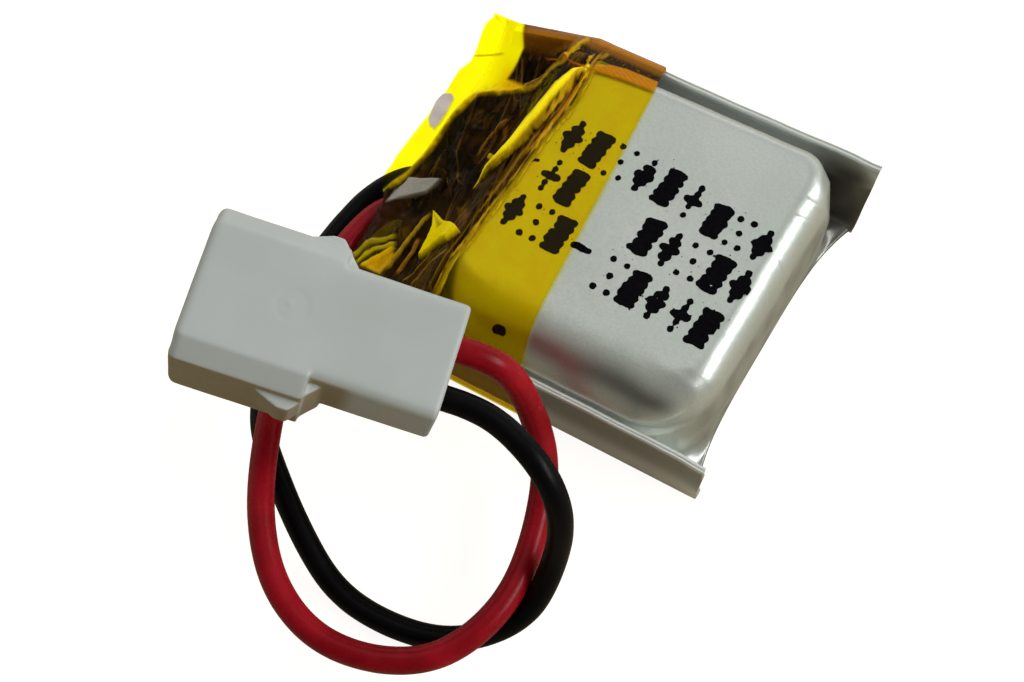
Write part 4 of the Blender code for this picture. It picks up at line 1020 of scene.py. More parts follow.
def raise_small_folds(film):
    """The pleat from the far crest down to the golden lip, and the thin folds, each with a painted glow.
    """
    for line, width in PLEATS:
        gap, _ = to_line(film.x, film.y, line)
        body = smooth(1.15, 0.9, gap / width)
        film.high = film.high + 0.26 * np.sqrt(np.clip(1 - (gap / (width * 1.2)) ** 2, 0, 1))
        film.paint_colour_and_light((0.28, 0.135, 0.010), body)
        edges = smooth(0.45, 0.75, gap / width) * smooth(1.25, 1.0, gap / width)
        film.paint_colour_and_light((0.66, 0.40, 0.01), edges * 0.85)
        # Painted glow in the pleat
        film.cover(body, clear=0, glow=0.10)
    for line, width, height, color in THIN_FOLDS:
        gap, along = to_line(film.x, film.y, line)
        ends = smooth(0.0, 0.12, along) * smooth(1.0, 0.85, along)
        film.high = film.high + height * ends * np.clip(1 - gap / (1.7 * width), 0, 1)
        mask = smooth(1.3, 0.7, gap / width) * ends * 0.95
        film.paint_colour_and_light(color, mask)
        # Painted glow along each thin fold
        film.cover(mask, clear=0, glow=0.12)


def press_facets(film):
    """Flat facets: two painted glares, a golden triangle and an orange one with a painted glow, and small
    brown ones.
    """
    x, y = film.x, film.y
    # Grey facets painted as glare
    for border, glare_tint in GLARES:
        body = inside(x, y, border, 0.05)
        fade = 0.85 + 0.15 * film.lumps(0.5, 123)
        film.paint_colour_and_light(np.asarray(glare_tint) * fade[..., None], body)
        film.cover(body, high=0.16, clear=0)
    body = inside(x, y, TRIANGLE, 0.05)
    gold = over((0.93, 0.74, 0.0), (0.60, 0.42, 0.0), smooth(0.1, 0.8, film.lumps(0.5, 124)) * 0.5)
    film.paint_colour_and_light(over(gold, (0.40, 0.31, 0.01), inside(x, y, TRIANGLE_HOLLOW, 0.09)), body)
    # The triangle has a painted glow
    film.cover(body, high=0.62 + 0.10 * (x + 6.0) + 0.12 * (y + 3.0), clear=0, glow=0.26)
    body = inside(x, y, ORANGE_PATCH, 0.10)
    film.paint_colour_and_light((0.93, 0.52, 0.0), body * (0.75 + 0.25 * film.lumps(0.3, 125)))
    # The orange facet has a painted glow
    film.cover(body, clear=0, glow=0.22)
    for border in BROWN_PATCHES:
        film.paint_colour_and_light((0.26, 0.11, 0.012), inside(x, y, border, 0.09) * 0.8)


def clear_flat_part(film):
    """Clear film on bright metal, with hairlines along its terminal edge."""
    x, y, edge = film.x, film.y, film.edge
    gap, along = to_line(x, y, DOTTED_WRINKLE)
    film.high = film.high + 0.020 * np.exp(-((gap / 0.09) ** 2)) * np.cos(along * 95) * film.flat
    keep = film.flat * (1 - film.band) * smooth(6.45, 6.15, y)
    edge_line = smooth(0.07, 0.02, np.abs(edge - 0.02)) * 0.5
    film.cover(keep, clear=0.996 - 0.6 * edge_line, glow=0)
    film.paint_colour_and_light((1.0, 0.74, 0.0), keep)
    broken = smooth(-0.2, 0.5, film.lumps(0.3, 126))
    film.paint_colour_and_light((0.60, 0.36, 0.01), smooth(0.16, 0.05, np.abs(edge + 0.06)) * broken * 0.7)
    for off, width, color, weight in HAIRLINES:
        gap = np.abs(edge - off - 0.03 * film.lumps(0.9, 129))
        broken = smooth(-0.75, 0.1, film.lumps(0.8, 130 + int(100 * abs(off))))
        mask = (smooth(width * 1.6, width * 0.5, gap) * smooth(-6.3, -5.2, y)
                * smooth(5.9, 5.2, y) * broken * weight)
        film.paint_colour_and_light(color, mask)
        film.cover(mask, clear=0)
        # The hairlines carry a painted glow
        film.glow = film.glow + 0.10 * mask


def film_top(x, y):
    film = Film(x, y)
    for step in (crumple_film, tint_far_side, tint_free_end, raise_main_fold, raise_small_folds,
                 press_facets, clear_flat_part):
        step(film)
    for name in ("tint", "clear", "through", "glow"):
        setattr(film, name, np.clip(getattr(film, name), 0, 1))
    return film


# ---------------------------------------------------------------- tape: the wrap

def tape_course(y, loose_rows):
    """The x of every row of the film, from its edge on the face to its free end."""
    start = WRAP_X1 - WRAP_SKEW * y - 0.25 * np.maximum(0, y - 6.0)
    bend = np.full_like(y, -3.2)
    end = np.interp(y, *np.transpose(FREE_END))
    first = start + (bend - start) * np.linspace(0, 1, 36)[:-1, None]
    rest = bend + (end - bend) * np.linspace(0, 1, loose_rows)[:, None]
    return np.vstack([first, rest])


def tape_under(x, y, join):
    """The lower sheet, which comes up to meet the upper one beyond the board."""
    closing = smooth(-2.6, -0.6, y) * join
    upper = tape_top(x, np.clip(y, near_rim(x)[0] + 0.02, far_rim(x)[0] - 0.02))
    return -0.10 + (upper + TAPE_T - 0.17 + 0.10) * closing


def add_tape():
    step_y = 0.055
    step_x = 0.052
    # Columns run over the top to +Y, down the far wall, back under the floor, up the near wall.
    across = np.linspace(-1, 1, int(15.2 / step_y))
    wall = np.linspace(0, 1, 18)[1:-1]
    under = np.linspace(0, 1, 40)
    stops = np.cumsum([0, len(across), len(wall), len(under), len(wall)])
    top, far, floor, near = (slice(a, b) for a, b in zip(stops[:-1], stops[1:]))
    sides = slice(far.start, None)
    width = FAR_RIM_Y - NEAR_RIM_Y
    # The lengthwise course is set on each column's own distance across the pack.
    x = tape_course(np.concatenate([
        across * width / 2 + (FAR_RIM_Y + NEAR_RIM_Y) / 2, np.full(len(wall), FAR_RIM_Y),
        FAR_RIM_Y - width * under, np.full(len(wall), NEAR_RIM_Y)]), int(6.6 / step_x))
    y, z = np.zeros_like(x), np.zeros_like(x)
    far_y, far_z = far_rim(x)
    near_y, near_z = near_rim(x)
    y[:, top] = near_y[:, top] + (far_y[:, top] - near_y[:, top]) * (across + 1) / 2
    z[:, top] = tape_top(x[:, top], y[:, top]) + TAPE_T
    wall_y = 7.235
    join = smooth(-8.8, -9.75, x)
    low_y = wall_y + (far_y - wall_y) * join
    y[:, floor] = low_y[:, floor] + (-wall_y - low_y[:, floor]) * under
    z[:, floor] = tape_under(x[:, floor], y[:, floor], join[:, floor])
    bow = 0.02 * np.sin(np.pi * wall)
    low_z = tape_under(x[:, far], np.full_like(x[:, far], wall_y), join[:, far])
    high_z = far_z[:, far] + TAPE_T
    y[:, far] = far_y[:, far] + (low_y[:, far] - far_y[:, far]) * wall + bow
    z[:, far] = high_z + (low_z - high_z) * wall
    low_z = tape_under(x[:, near], np.full_like(x[:, near], -wall_y), join[:, near])
    y[:, near] = -wall_y + (near_y[:, near] + wall_y) * wall - bow
    z[:, near] = low_z + (near_z[:, near] + TAPE_T - low_z) * wall
    outer = np.stack([x, y, z], -1)
    around = np.roll(outer, -1, 1) - np.roll(outer, 1, 1)
    normal = np.cross(around, np.gradient(outer, axis=0))
    normal /= np.maximum(np.linalg.norm(normal, axis=-1, keepdims=True), 1e-9)
    # Round the corners' normals so that the inner sheet stays inside.
    for _ in range(3):
        normal = (np.roll(normal, 1, 1) + 2 * normal + np.roll(normal, -1, 1)) / 4
    normal /= np.maximum(np.linalg.norm(normal, axis=-1, keepdims=True), 1e-9)

    film = film_top(x[:, top], y[:, top])
    off_rims = np.minimum(far_y[:, top] - y[:, top], y[:, top] - near_y[:, top])
    ease = smooth(0, 0.25, off_rims)
    lift = np.zeros_like(x)
    raised = np.maximum(film.high, -0.02 - 0.5 * ease) * (0.15 + 0.85 * ease) + 0.03
    room = beneath(x[:, top], y[:, top]) + 0.10 + TAPE_T - z[:, top]
    lift[:, top] = np.where(x[:, top] < -3.9, np.maximum(raised, room), raised)

    tint = np.zeros(x.shape + (3,)) + (0.55, 0.38, 0.01)
    clear = np.full(x.shape, 0.75)
    through = np.zeros(x.shape + (3,)) + (0.97, 0.85, 0.02)
    glow = np.zeros(x.shape)
    tint[:, top], clear[:, top] = film.tint, film.clear
    through[:, top], glow[:, top] = film.through, film.glow
    # The far wall fades from the rim's tint.
    rim_tint = film.tint[:, -1][:, None]
    early = np.clip(1 - 5 * wall, 0, 1)[None, :, None]
    tint[:, far] = rim_tint * early + np.array((0.50, 0.28, 0.008)) * (1 - early)
    clear[:, far] = 0.25 + 0.35 * wall
    tail = smooth(-9.0, -9.3, x[:, sides])
    clear[:, sides] = clear[:, sides] * (1 - tail) + tail
    through[:, sides] = over(through[:, sides], (1.0, 0.992, 0.0), tail)

    side_x = x[:, sides]
    waves = 0.05 * facets(side_x, z[:, sides] * 1.3 + y[:, sides] * 0.7, 0.6, 0.9, 0.4, 140)
    waves = waves * smooth(-4.6, -6.5, side_x) * (0.3 + 0.7 * (1 - join[:, sides]))
    shift = np.zeros(x.shape + (3,))
    shift[:, sides] = normal[:, sides] * waves[..., None]
    shift[..., 2] += lift
    inner = outer - normal * TAPE_T + shift
    verts = np.vstack([(outer + shift).reshape(-1, 3), inner.reshape(-1, 3)])

    rows, cols = x.shape
    count = rows * cols
    j = np.arange(cols)
    k = (j + 1) % cols
    last = (rows - 1) * cols
    faces = np.vstack([
        weave(rows, cols), weave(rows, cols, base=count)[:, ::-1],
        np.stack([j, j + count, k + count, k], -1),
        np.stack([last + k, last + k + count, last + j + count, last + j], -1)])
    obj = make("polyimide_wrap", verts, faces, FILM, sharp=38)
    for name, values in (("tint", tint), ("clear", clear), ("through", through), ("glow", glow)):
        sheet = values.reshape(count, *values.shape[2:])
        paint(obj, name, np.concatenate([sheet, sheet]))
    return obj


# ---------------------------------------------------------------- ink

SIGNS = {
    "plus": ("..#..", "..#..", "#####", "..#..", "..#.."),
    "minus": (".....", ".....", "#####", ".....", "....."),
    "block": ("#####",) * 5,
    "gem": ("..#..", ".###.", "#####", ".###.", "..#.."),
    "dots": ("#...#", ".....", "..#..", ".....", "#...#"),
}
# Lower -X dot of the first sign, pitch of the signs, dot pitch along x and y, signs
INK_ROWS = (
    ((-2.95, 1.93), 1.16, 0.158, 0.345, ("gem", "block", "dots", "gem", "block", "plus")),
    ((4.15, 1.28), 1.05, 0.150, 0.300, ("block", "dots", "gem")),
    ((-2.85, -0.05), 1.05, 0.150, 0.345, ("plus", "block")),
    ((2.00, -0.66), 1.08, 0.158, 0.345, ("block", "gem", "dots", "block", "gem")),
    ((-3.40, -2.05), 1.10, 0.155, 0.340, ("gem", "dots", "block", "minus")),
    ((1.55, -2.85), 1.10, 0.158, 0.345, ("dots", "block", "gem", "plus", "block")),
)
# Stray marks: x, y, radius
STRAY_DOTS = (
    (-3.52, 0.92, 0.07), (-3.40, 0.99, 0.07), (-3.62, 0.86, 0.07), (-3.30, 1.02, 0.07),
    (-1.05, -6.02, 0.13), (-0.92, -6.00, 0.13), (-0.80, -6.04, 0.13), (-1.15, -6.08, 0.13))
INK_X0, INK_Y0, INK_X1, INK_Y1 = -4.0, -6.4, 7.2, 3.9
INK_TOP, INK_SUNK = 0.012, -0.03


def ink_dots():
    """(x, y, radius) of every dot: the signs', the spatter's and the stray ones."""
    rng = np.random.RandomState(77)
    dots = []
    for (x0, y0), pitch, dx, dy, signs in INK_ROWS:
        for n, sign in enumerate(signs):
            for r, row in enumerate(SIGNS[sign]):
                for c in (c for c, mark in enumerate(row) if mark == "#"):
                    up = (4 - r) * dy
                    dots.append((x0 + n * pitch + c * dx + 0.08 * up + rng.normal(0, 0.020),
                                 y0 + up - 0.075 * n + rng.normal(0, 0.022),
                                 0.140 + rng.uniform(-0.012, 0.020)))
    for _ in range(150):
        base = dots[rng.randint(len(dots) - 1)]
        dots.append((base[0] + rng.normal(0, 0.38), base[1] + rng.normal(0, 0.34),
                     rng.uniform(0.016, 0.030)))
    return dots + list(STRAY_DOTS)


def add_ink():
    """Abstract printed signs in ragged dots, standing a hundredth of a millimetre high."""
    step = 0.030
    xs = INK_X0 + step * np.arange(int((INK_X1 - INK_X0) / step))
    ys = INK_Y0 + step * np.arange(int((INK_Y1 - INK_Y0) / step))
    field = np.zeros((len(xs), len(ys)))

    def reach(at, r, start):
        return slice(max(int((at - 4 * r - start) / step), 0), int((at + 4 * r - start) / step) + 2)

    for x, y, r in ink_dots():
        i, j = reach(x, r, INK_X0), reach(y, r, INK_Y0)
        field[i, j] += np.exp(-((xs[i, None] - x) ** 2 + (ys[None, j] - y) ** 2) / (r * r))
    grid_x, grid_y = np.meshgrid(xs, ys, indexing="ij")
    level = field - 0.42 + 0.10 * flat_noise(grid_x, grid_y, 0.09, 131)
    level += 0.05 * flat_noise(grid_x, grid_y, 0.045, 132)
    level[0], level[-1], level[:, 0], level[:, -1] = -1, -1, -1, -1
    ground = face_height(grid_x, grid_y)
    verts, faces, index = [], [], {}

    def vertex(key, x, y, z):
        if key not in index:
            index[key] = len(verts)
            verts.append((x, y, z))
        return index[key]

    def corner(p, lift):
        return vertex((p, lift), xs[p[0]], ys[p[1]], ground[p] + lift)

    def cut(p, q, lift):
        """Where the ink's border crosses between two neighbouring grid points."""
        t = min(0.999, max(0.001, level[p] / (level[p] - level[q])))
        return vertex((min(p, q), max(p, q), lift), xs[p[0]] + (xs[q[0]] - xs[p[0]]) * t,
                      ys[p[1]] + (ys[q[1]] - ys[p[1]]) * t, ground[p] + lift)

    on = level > 0
    for i, j in np.argwhere(on[:-1, :-1] | on[1:, :-1] | on[:-1, 1:] | on[1:, 1:]).tolist():
        ring = ((i, j), (i + 1, j), (i + 1, j + 1), (i, j + 1))
        inked = [on[p] for p in ring]
        if inked in ([True, False, True, False], [False, True, False, True]):
            # Two opposite corners: two separate pieces keep the outline simple.
            for n, p in enumerate(ring):
                if inked[n]:
                    before, after = ring[n - 1], ring[(n + 1) % 4]
                    top, low = ([cut(before, p, lift), corner(p, lift), cut(p, after, lift)]
                                for lift in (INK_TOP, INK_SUNK))
                    faces += [top, low[::-1], (top[0], top[2], low[2], low[0])]
            continue
        tops, lows, edge = [], [], []
        for p, q in zip(ring, ring[1:] + ring[:1]):
            if on[p]:
                tops.append(corner(p, INK_TOP))
                lows.append(corner(p, INK_SUNK))
            if on[p] != on[q]:
                tops.append(cut(p, q, INK_TOP))
                lows.append(cut(p, q, INK_SUNK))
                edge.append((tops[-1], lows[-1], on[p]))
        faces += [tops, lows[::-1]]
        if len(edge) == 2:
            (a, b, leaving), (c, d, _) = edge
            faces.append((a, b, d, c) if leaving else (c, d, b, a))
    return make("printed_marks", verts, faces, INK, sharp=50)


# ---------------------------------------------------------------- leads

PITCH, WIRE_OUT = 2.00, 1.20
PLUG_YAW, PLUG_PITCH, PLUG_ROLL = math.radians(15.5), math.radians(19.0), math.radians(2.0)
PLUG_REAR_TOP = (-0.04, -9.37, 10.08)
PLUG_REAR_W, PLUG_REAR_T = 4.70, 3.20
PLUG_TURN = (Matrix.Rotation(PLUG_YAW, 3, "Z") @ Matrix.Rotation(PLUG_PITCH, 3, "Y")
             @ Matrix.Rotation(PLUG_ROLL, 3, "X"))
PLUG_PIVOT = (Vector(PLUG_REAR_TOP) - PLUG_TURN.col[2] * (PLUG_REAR_T / 2)
              + PLUG_TURN.col[0] * WIRE_OUT)

LEAD_Z = 1.50
# Centre lines from the board to the plug: x, y, z
RED_COURSE = (
    (-9.45, -1.80, 1.50), (-10.00, -2.55, 1.55), (-10.30, -4.30, 1.75),
    (-10.10, -6.90, 2.20), (-9.40, -9.50, 2.80), (-8.50, -12.00, 3.30),
    (-7.20, -14.70, 3.60), (-6.00, -16.70, 3.60), (-4.20, -18.70, 3.10),
    (-1.80, -19.70, 2.50), (0.70, -19.30, 1.90), (2.90, -17.90, 1.80),
    (4.06, -15.10, 1.93), (3.80, -12.40, 1.90), (2.84, -9.48, 2.50), (2.47, -8.88, 4.00),
    (1.90, -8.34, 5.50), (1.24, -8.03, 6.80),
)
BLACK_COURSE = (
    (-9.55, -0.25, 1.50), (-10.40, -0.95, 1.30), (-11.15, -2.40, 1.05),
    (-11.50, -5.40, 1.00), (-11.10, -7.90, 1.30), (-10.10, -10.90, 1.60),
    (-8.90, -13.20, 2.00), (-6.95, -14.80, 2.15), (-4.85, -16.30, 1.60),
    (-2.50, -17.50, 0.80), (0.30, -17.60, 0.62), (2.80, -16.86, 0.62),
    (4.74, -14.80, 0.94), (5.18, -12.85, 2.73), (5.19, -11.56, 5.60),
    (4.48, -10.93, 7.00), (3.17, -10.40, 7.70), (1.69, -10.03, 7.85),
)
# Colour, course, y of the solder pad, side of the plug, radius, material, seed
LEADS = (
    ("red", RED_COURSE, -1.70, 1, 0.55, RED, 201),
    ("black", BLACK_COURSE, -0.20, -1, 0.51, BLACK, 211),
)
# A bare strand from the insulation to the solder: x, twist, height scale, drop
STRAND_STATIONS = ((-9.15, 0, 1, 0), (-8.85, 0.3, 1, 0.02), (-8.60, 0.6, 1, 0.10), (-8.38, 0.9, 0.8, 0.20))


def smooth_course(points, per_span=24):
    """Centripetal Catmull-Rom through the points."""
    def between(p, q, start, end, t):
        return p * ((end - t) / (end - start)) + q * ((t - start) / (end - start))

    pts = [Vector(p) for p in points]
    pts = [pts[0] * 2 - pts[1]] + pts + [pts[-1] * 2 - pts[-2]]
    out = []
    for p0, p1, p2, p3 in zip(pts, pts[1:], pts[2:], pts[3:]):
        t0 = 0.0
        t1 = t0 + (p1 - p0).length ** 0.5
        t2 = t1 + (p2 - p1).length ** 0.5
        t3 = t2 + (p3 - p2).length ** 0.5
        for k in range(per_span):
            t = t1 + (t2 - t1) * k / per_span
            a1 = between(p0, p1, t0, t1, t)
            a2 = between(p1, p2, t1, t2, t)
            a3 = between(p2, p3, t2, t3, t)
            b1 = between(a1, a2, t0, t2, t)
            b2 = between(a2, a3, t1, t3, t)
            out.append(between(b1, b2, t1, t2, t))
    return out + [pts[-2]]


def resample(line, step):
    points = np.array([tuple(p) for p in line])
    lengths = np.linalg.norm(np.diff(points, axis=0), axis=1)
    total = np.concatenate([[0], np.cumsum(lengths)])
    at = np.linspace(0, total[-1], int(total[-1] / step) + 1)
    return np.stack([np.interp(at, total, points[:, k]) for k in range(3)], -1)


def eased(line, passes=24, start=16, end=12):
    """Takes sharp turns out of a course, holding the lengths inside the film and the plug."""
    for _ in range(passes):
        middle = (line[start - 1 : -end - 1] + line[start + 1 : -end + 1]) / 2
        line[start:-end] += 0.5 * (middle - line[start:-end])
    return line


def lead_line(course, pad_y, side):
    leave = PLUG_PIVOT + PLUG_TURN.col[1] * (side * PITCH / 2)
    ends = [leave + PLUG_TURN.col[0] * d for d in (0.5, -0.4, -1.6, -2.9)]
    return eased(resample(smooth_course([(-8.95, pad_y, LEAD_Z), *course, *ends]), 0.22))


def tube_rings(line, radius, sides, seed):
    tangent = np.gradient(line, axis=0)
    tangent /= np.linalg.norm(tangent, axis=1, keepdims=True)
    normal = np.zeros_like(line)
    facing = np.cross(tangent[0], (0, 0, 1.0))
    facing /= np.linalg.norm(facing)
    for i, t in enumerate(tangent):
        facing = facing - t * np.dot(facing, t)
        facing /= np.linalg.norm(facing)
        normal[i] = facing
    across = np.cross(tangent, normal)
    a = (2 * np.pi * np.arange(sides) / sides)[None, :, None]
    out = radius * (normal[:, None] * np.cos(a) + across[:, None] * np.sin(a))
    ring = line[:, None] + out
    # Extruded insulation is never quite round or quite even.
    swell = 1 + 0.012 * noise(ring, 2.2, seed) + 0.006 * noise(ring, 0.6, seed + 1)
    return line[:, None] + out * swell[..., None]


def add_strands(colour, pad_y):
    """Seven stripped strands, six round one, between the insulation's end and the solder."""
    verts, faces, base = [], [], 0
    for k in range(7):
        a = 2 * math.pi * k / 6
        r = 0.0 if k == 6 else 0.13
        path = [(x, pad_y + r * math.cos(a + twist), LEAD_Z + flat * r * math.sin(a + twist) - drop)
                for x, twist, flat, drop in STRAND_STATIONS]
        line = resample(smooth_course(path, 6), 0.09)
        rings = tube_rings(line, radius=0.062, sides=8, seed=230 + k)
        rows, cols = rings.shape[:2]
        verts.append(rings.reshape(-1, 3))
        faces += loft_faces(rows, cols, base)
        base += rows * cols
    obj = make(f"{colour}_lead_strands", np.vstack(verts), faces, TINNED)
    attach(obj, "cell")


def add_leads():
    plug_x = PLUG_TURN.col[0]
    for colour, course, pad_y, side, radius, material, seed in LEADS:
        line = lead_line(course, pad_y, side)
        rings = tube_rings(line, radius, sides=22, seed=seed)
        # Each lead is cut at two places, nearest these points.
        swing = int(np.argmin(np.hypot(line[:, 0] + 7.6, line[:, 1] + 14.0)))
        loop = int(np.argmin(np.hypot(line[:, 0] - 4.5, line[:, 1] + 15.0)))
        # Name, rings, the bodies on either side, two points along the lead, parts replaced
        pieces = (
            ("board_end", rings[: swing + 1], "cell", "leads_inner",
             (-9.8, -1.2, 1.4), (-10.6, -2.4, 1.4), ("tail", "inner")),
            ("loop", rings[swing : loop + 1], "leads_inner", "leads_outer",
             (-1.0, -18.45, 1.2), (2.0, -18.45, 1.2), ()),
            ("plug_end", rings[loop:], "leads_outer", "plug",
             PLUG_PIVOT + plug_x * 0.9, PLUG_PIVOT - plug_x * 0.6, ("outer", "plug_end")),
        )
        for piece, ring, a, b, start, end, parts in pieces:
            obj = loft(f"{colour}_lead_{piece}", ring, material, sharp=50)
            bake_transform(obj)
            for part in parts:
                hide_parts(f"{colour}_insulation_{part}", f"{colour}_conductor_{part}")
        add_strands(colour, pad_y)


# ---------------------------------------------------------------- plug

# In the plug's own frame the wires leave at its +X end and the mating front faces -X.
PLUG_L = 9.80
PLUG_FRONT_W, PLUG_FRONT_T, PLUG_FRONT_L = 6.20, 4.15, 4.90
PLUG_BEVEL = 0.80
PLUG_TOP = PLUG_REAR_T / 2
PLUG_FLOOR = PLUG_TOP - PLUG_FRONT_T
REAR_X = -WIRE_OUT
FRONT_X = REAR_X - PLUG_L - 0.25
STEP_X = FRONT_X + 0.25 + PLUG_FRONT_L


def plug_outline(half, top, low, radius, bevel=0.0):
    """A rounded (y, z) outline; the upper corners are bevelled if asked."""
    points = []
    for side_y, side_z, start in ((1, 1, 0), (-1, 1, 90), (-1, -1, 180), (1, -1, 270)):
        if bevel and side_z > 0:
            ends = [(side_y * half, top - bevel * 0.75), (side_y * (half - bevel), top)]
            points.extend(np.linspace(*ends[::side_y], 6))
            continue
        centre_z = top - radius if side_z > 0 else low + radius
        for k in range(6):
            t = math.radians(start + 90 * k / 5)
            points.append((side_y * (half - radius) + radius * math.cos(t),
                           centre_z + radius * math.sin(t)))
    return points


def along(outline, *xs):
    return [[(x, y, z) for y, z in outline] for x in xs]


def upright(outline, *zs):
    return [[(x, y, z) for x, y in outline] for z in zs]


def bar(half, low, bevel, x_open, x_shut, end_r):
    """Rings of a bar whose x_open end is rounded."""
    rings = []
    for k in range(6):
        a = math.radians(90 * k / 5)
        inset = end_r * (1 - math.sin(a))
        x = x_open + math.copysign(end_r * (1 - math.cos(a)), x_shut - x_open)
        rings += along(plug_outline(half - inset, PLUG_TOP - inset, low + inset, 0.42, bevel), x)
    return rings + along(plug_outline(half, PLUG_TOP, low, 0.42, bevel), x_shut)


def plug_mesh():
    """The housing: bars, latches and tapers joined, bores and slots cut, then softened."""
    half = PLUG_FRONT_W / 2
    body = loft("plug_body", bar(PLUG_REAR_W / 2, -PLUG_TOP, 0.0, REAR_X, FRONT_X + 0.8, 0.16), NYLON)
    join = [loft("tmp_shroud", bar(half, PLUG_FLOOR, PLUG_BEVEL, FRONT_X, STEP_X, 0.34), NYLON)]
    cut = []
    for side in (-1, 1):
        latch = [(STEP_X + dx, side * (half + dy)) for dx, dy in (
            (-1.95, -0.3), (-1.90, 0), (-0.78, 0.45), (-0.38, 0.45), (0.02, -0.02), (0.02, -0.3))]
        rings = upright(latch, PLUG_TOP - 2.6, PLUG_TOP - 0.95)
        join.append(loft(f"tmp_latch{side}", rings, NYLON))
        taper = [(STEP_X - 0.1, side * (half - 0.5)), (STEP_X - 0.1, side * half),
                 (STEP_X + 0.62, side * 2.30), (STEP_X + 0.62, side * 1.9)]
        rings = upright(taper, PLUG_FLOOR + 0.6, PLUG_TOP - 0.62)
        join.append(loft(f"tmp_taper{side}", rings, NYLON))
        # Name, half width, top, bottom and the two ends of what is cut out round each wire
        for name, half_w, top, low, start, end in (
                ("bore", 0.75, 0.85, -0.85, FRONT_X - 0.5, REAR_X + 0.5),
                ("lock", 0.42, -0.5, -4.0, -5.6, -3.9)):
            y = side * PITCH / 2
            a, b = y + half_w, y - half_w
            rings = along([(a, top), (b, top), (b, low), (a, low)], start, end)
            cut.append(loft(f"tmp_{name}{side}", rings, NYLON))
    mouth = plug_outline(2.62, PLUG_TOP - 0.62, PLUG_FLOOR + 0.55, 0.25)
    cut.append(loft("tmp_mouth", along(mouth, FRONT_X - 0.5, FRONT_X + 0.55), NYLON))
    for pieces, operation in ((join, "UNION"), (cut, "DIFFERENCE")):
        for piece in pieces:
            modifier = body.modifiers.new(piece.name, "BOOLEAN")
            modifier.operation = operation
            modifier.solver = "EXACT"
            modifier.object = piece
    remesh = body.modifiers.new("remesh", "REMESH")
    remesh.mode = "VOXEL"
    remesh.voxel_size = 0.065 * MM
    soften = body.modifiers.new("soften", "SMOOTH")
    soften.factor = 0.5
    soften.iterations = 8
    graph = bpy.context.evaluated_depsgraph_get()
    mesh = bpy.data.meshes.new_from_object(body.evaluated_get(graph))
    for piece in join + cut + [body]:
        bpy.data.objects.remove(piece, do_unlink=True)
    return mesh


def add_plug():
    mesh = plug_mesh()
    mesh.name = "plug_shell"
    coords = np.zeros(len(mesh.vertices) * 3, np.float32)
    mesh.vertices.foreach_get("co", coords)
    p = coords.reshape(-1, 3).astype(float) / MM
    # A shallow ring with a pip on the top, a slight sink, a parting line along the sides.
    lid = smooth(PLUG_TOP - 0.12, PLUG_TOP - 0.02, p[:, 2])
    off = np.hypot(p[:, 0] + 7.50, p[:, 1] - 0.05)
    groove = 0.018 * np.exp(-(((off - 0.60) / 0.10) ** 2)) + 0.012 * smooth(0.58, 0.48, off)
    pip = 0.030 * np.exp(-((p[:, 0] + 7.62) ** 2 + (p[:, 1] - 0.12) ** 2) / 0.02)
    p[:, 2] += lid * (pip - groove)
    sink = 0.030 * smooth(1.9, 0.3, np.abs(p[:, 1])) * smooth(5.0, 1.0, np.abs(p[:, 0] + 5.5))
    p[:, 2] -= lid * sink
    part = np.exp(-(((p[:, 2] - 0.15) / 0.05) ** 2)) * smooth(2.2, 2.32, np.abs(p[:, 1]))
    p[:, 1] += np.sign(p[:, 1]) * 0.014 * part
    p += 0.006 * noise(p, 1.4, 301)[:, None]
    mesh.vertices.foreach_set("co", (p * MM).astype(np.float32).ravel())
    mesh.transform(Matrix.Translation(PLUG_PIVOT * MM) @ PLUG_TURN.to_4x4())
    mesh.materials.clear()
    mesh.materials.append(NYLON)
    mesh.shade_smooth()
    mesh.update()
    obj = add_object("plug_shell", mesh)
    facing = np.zeros(len(mesh.vertices) * 3, np.float32)
    mesh.vertex_normals.foreach_get("vector", facing)
    _, facing_y, facing_z = facing.reshape(-1, 3).T
    # Painted tan shade on the faces that turn down, strongest on the near side of the front
    painted_near_shade = smooth(0.1, -0.6, facing_y) * smooth(-4.2, -4.9, p[:, 0])
    paint(obj, "shade", smooth(0.62, 0.25, facing_z) * (0.10 + 0.90 * painted_near_shade))
    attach(obj, "plug")
    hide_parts("plug_housing")


# ---------------------------------------------------------------- CAD nodes that stay

TINNED = plain("tinned_strands", (0.72, 0.70, 0.66), rough=0.30, metal=1.0, vary=0.08, grain=5.0)
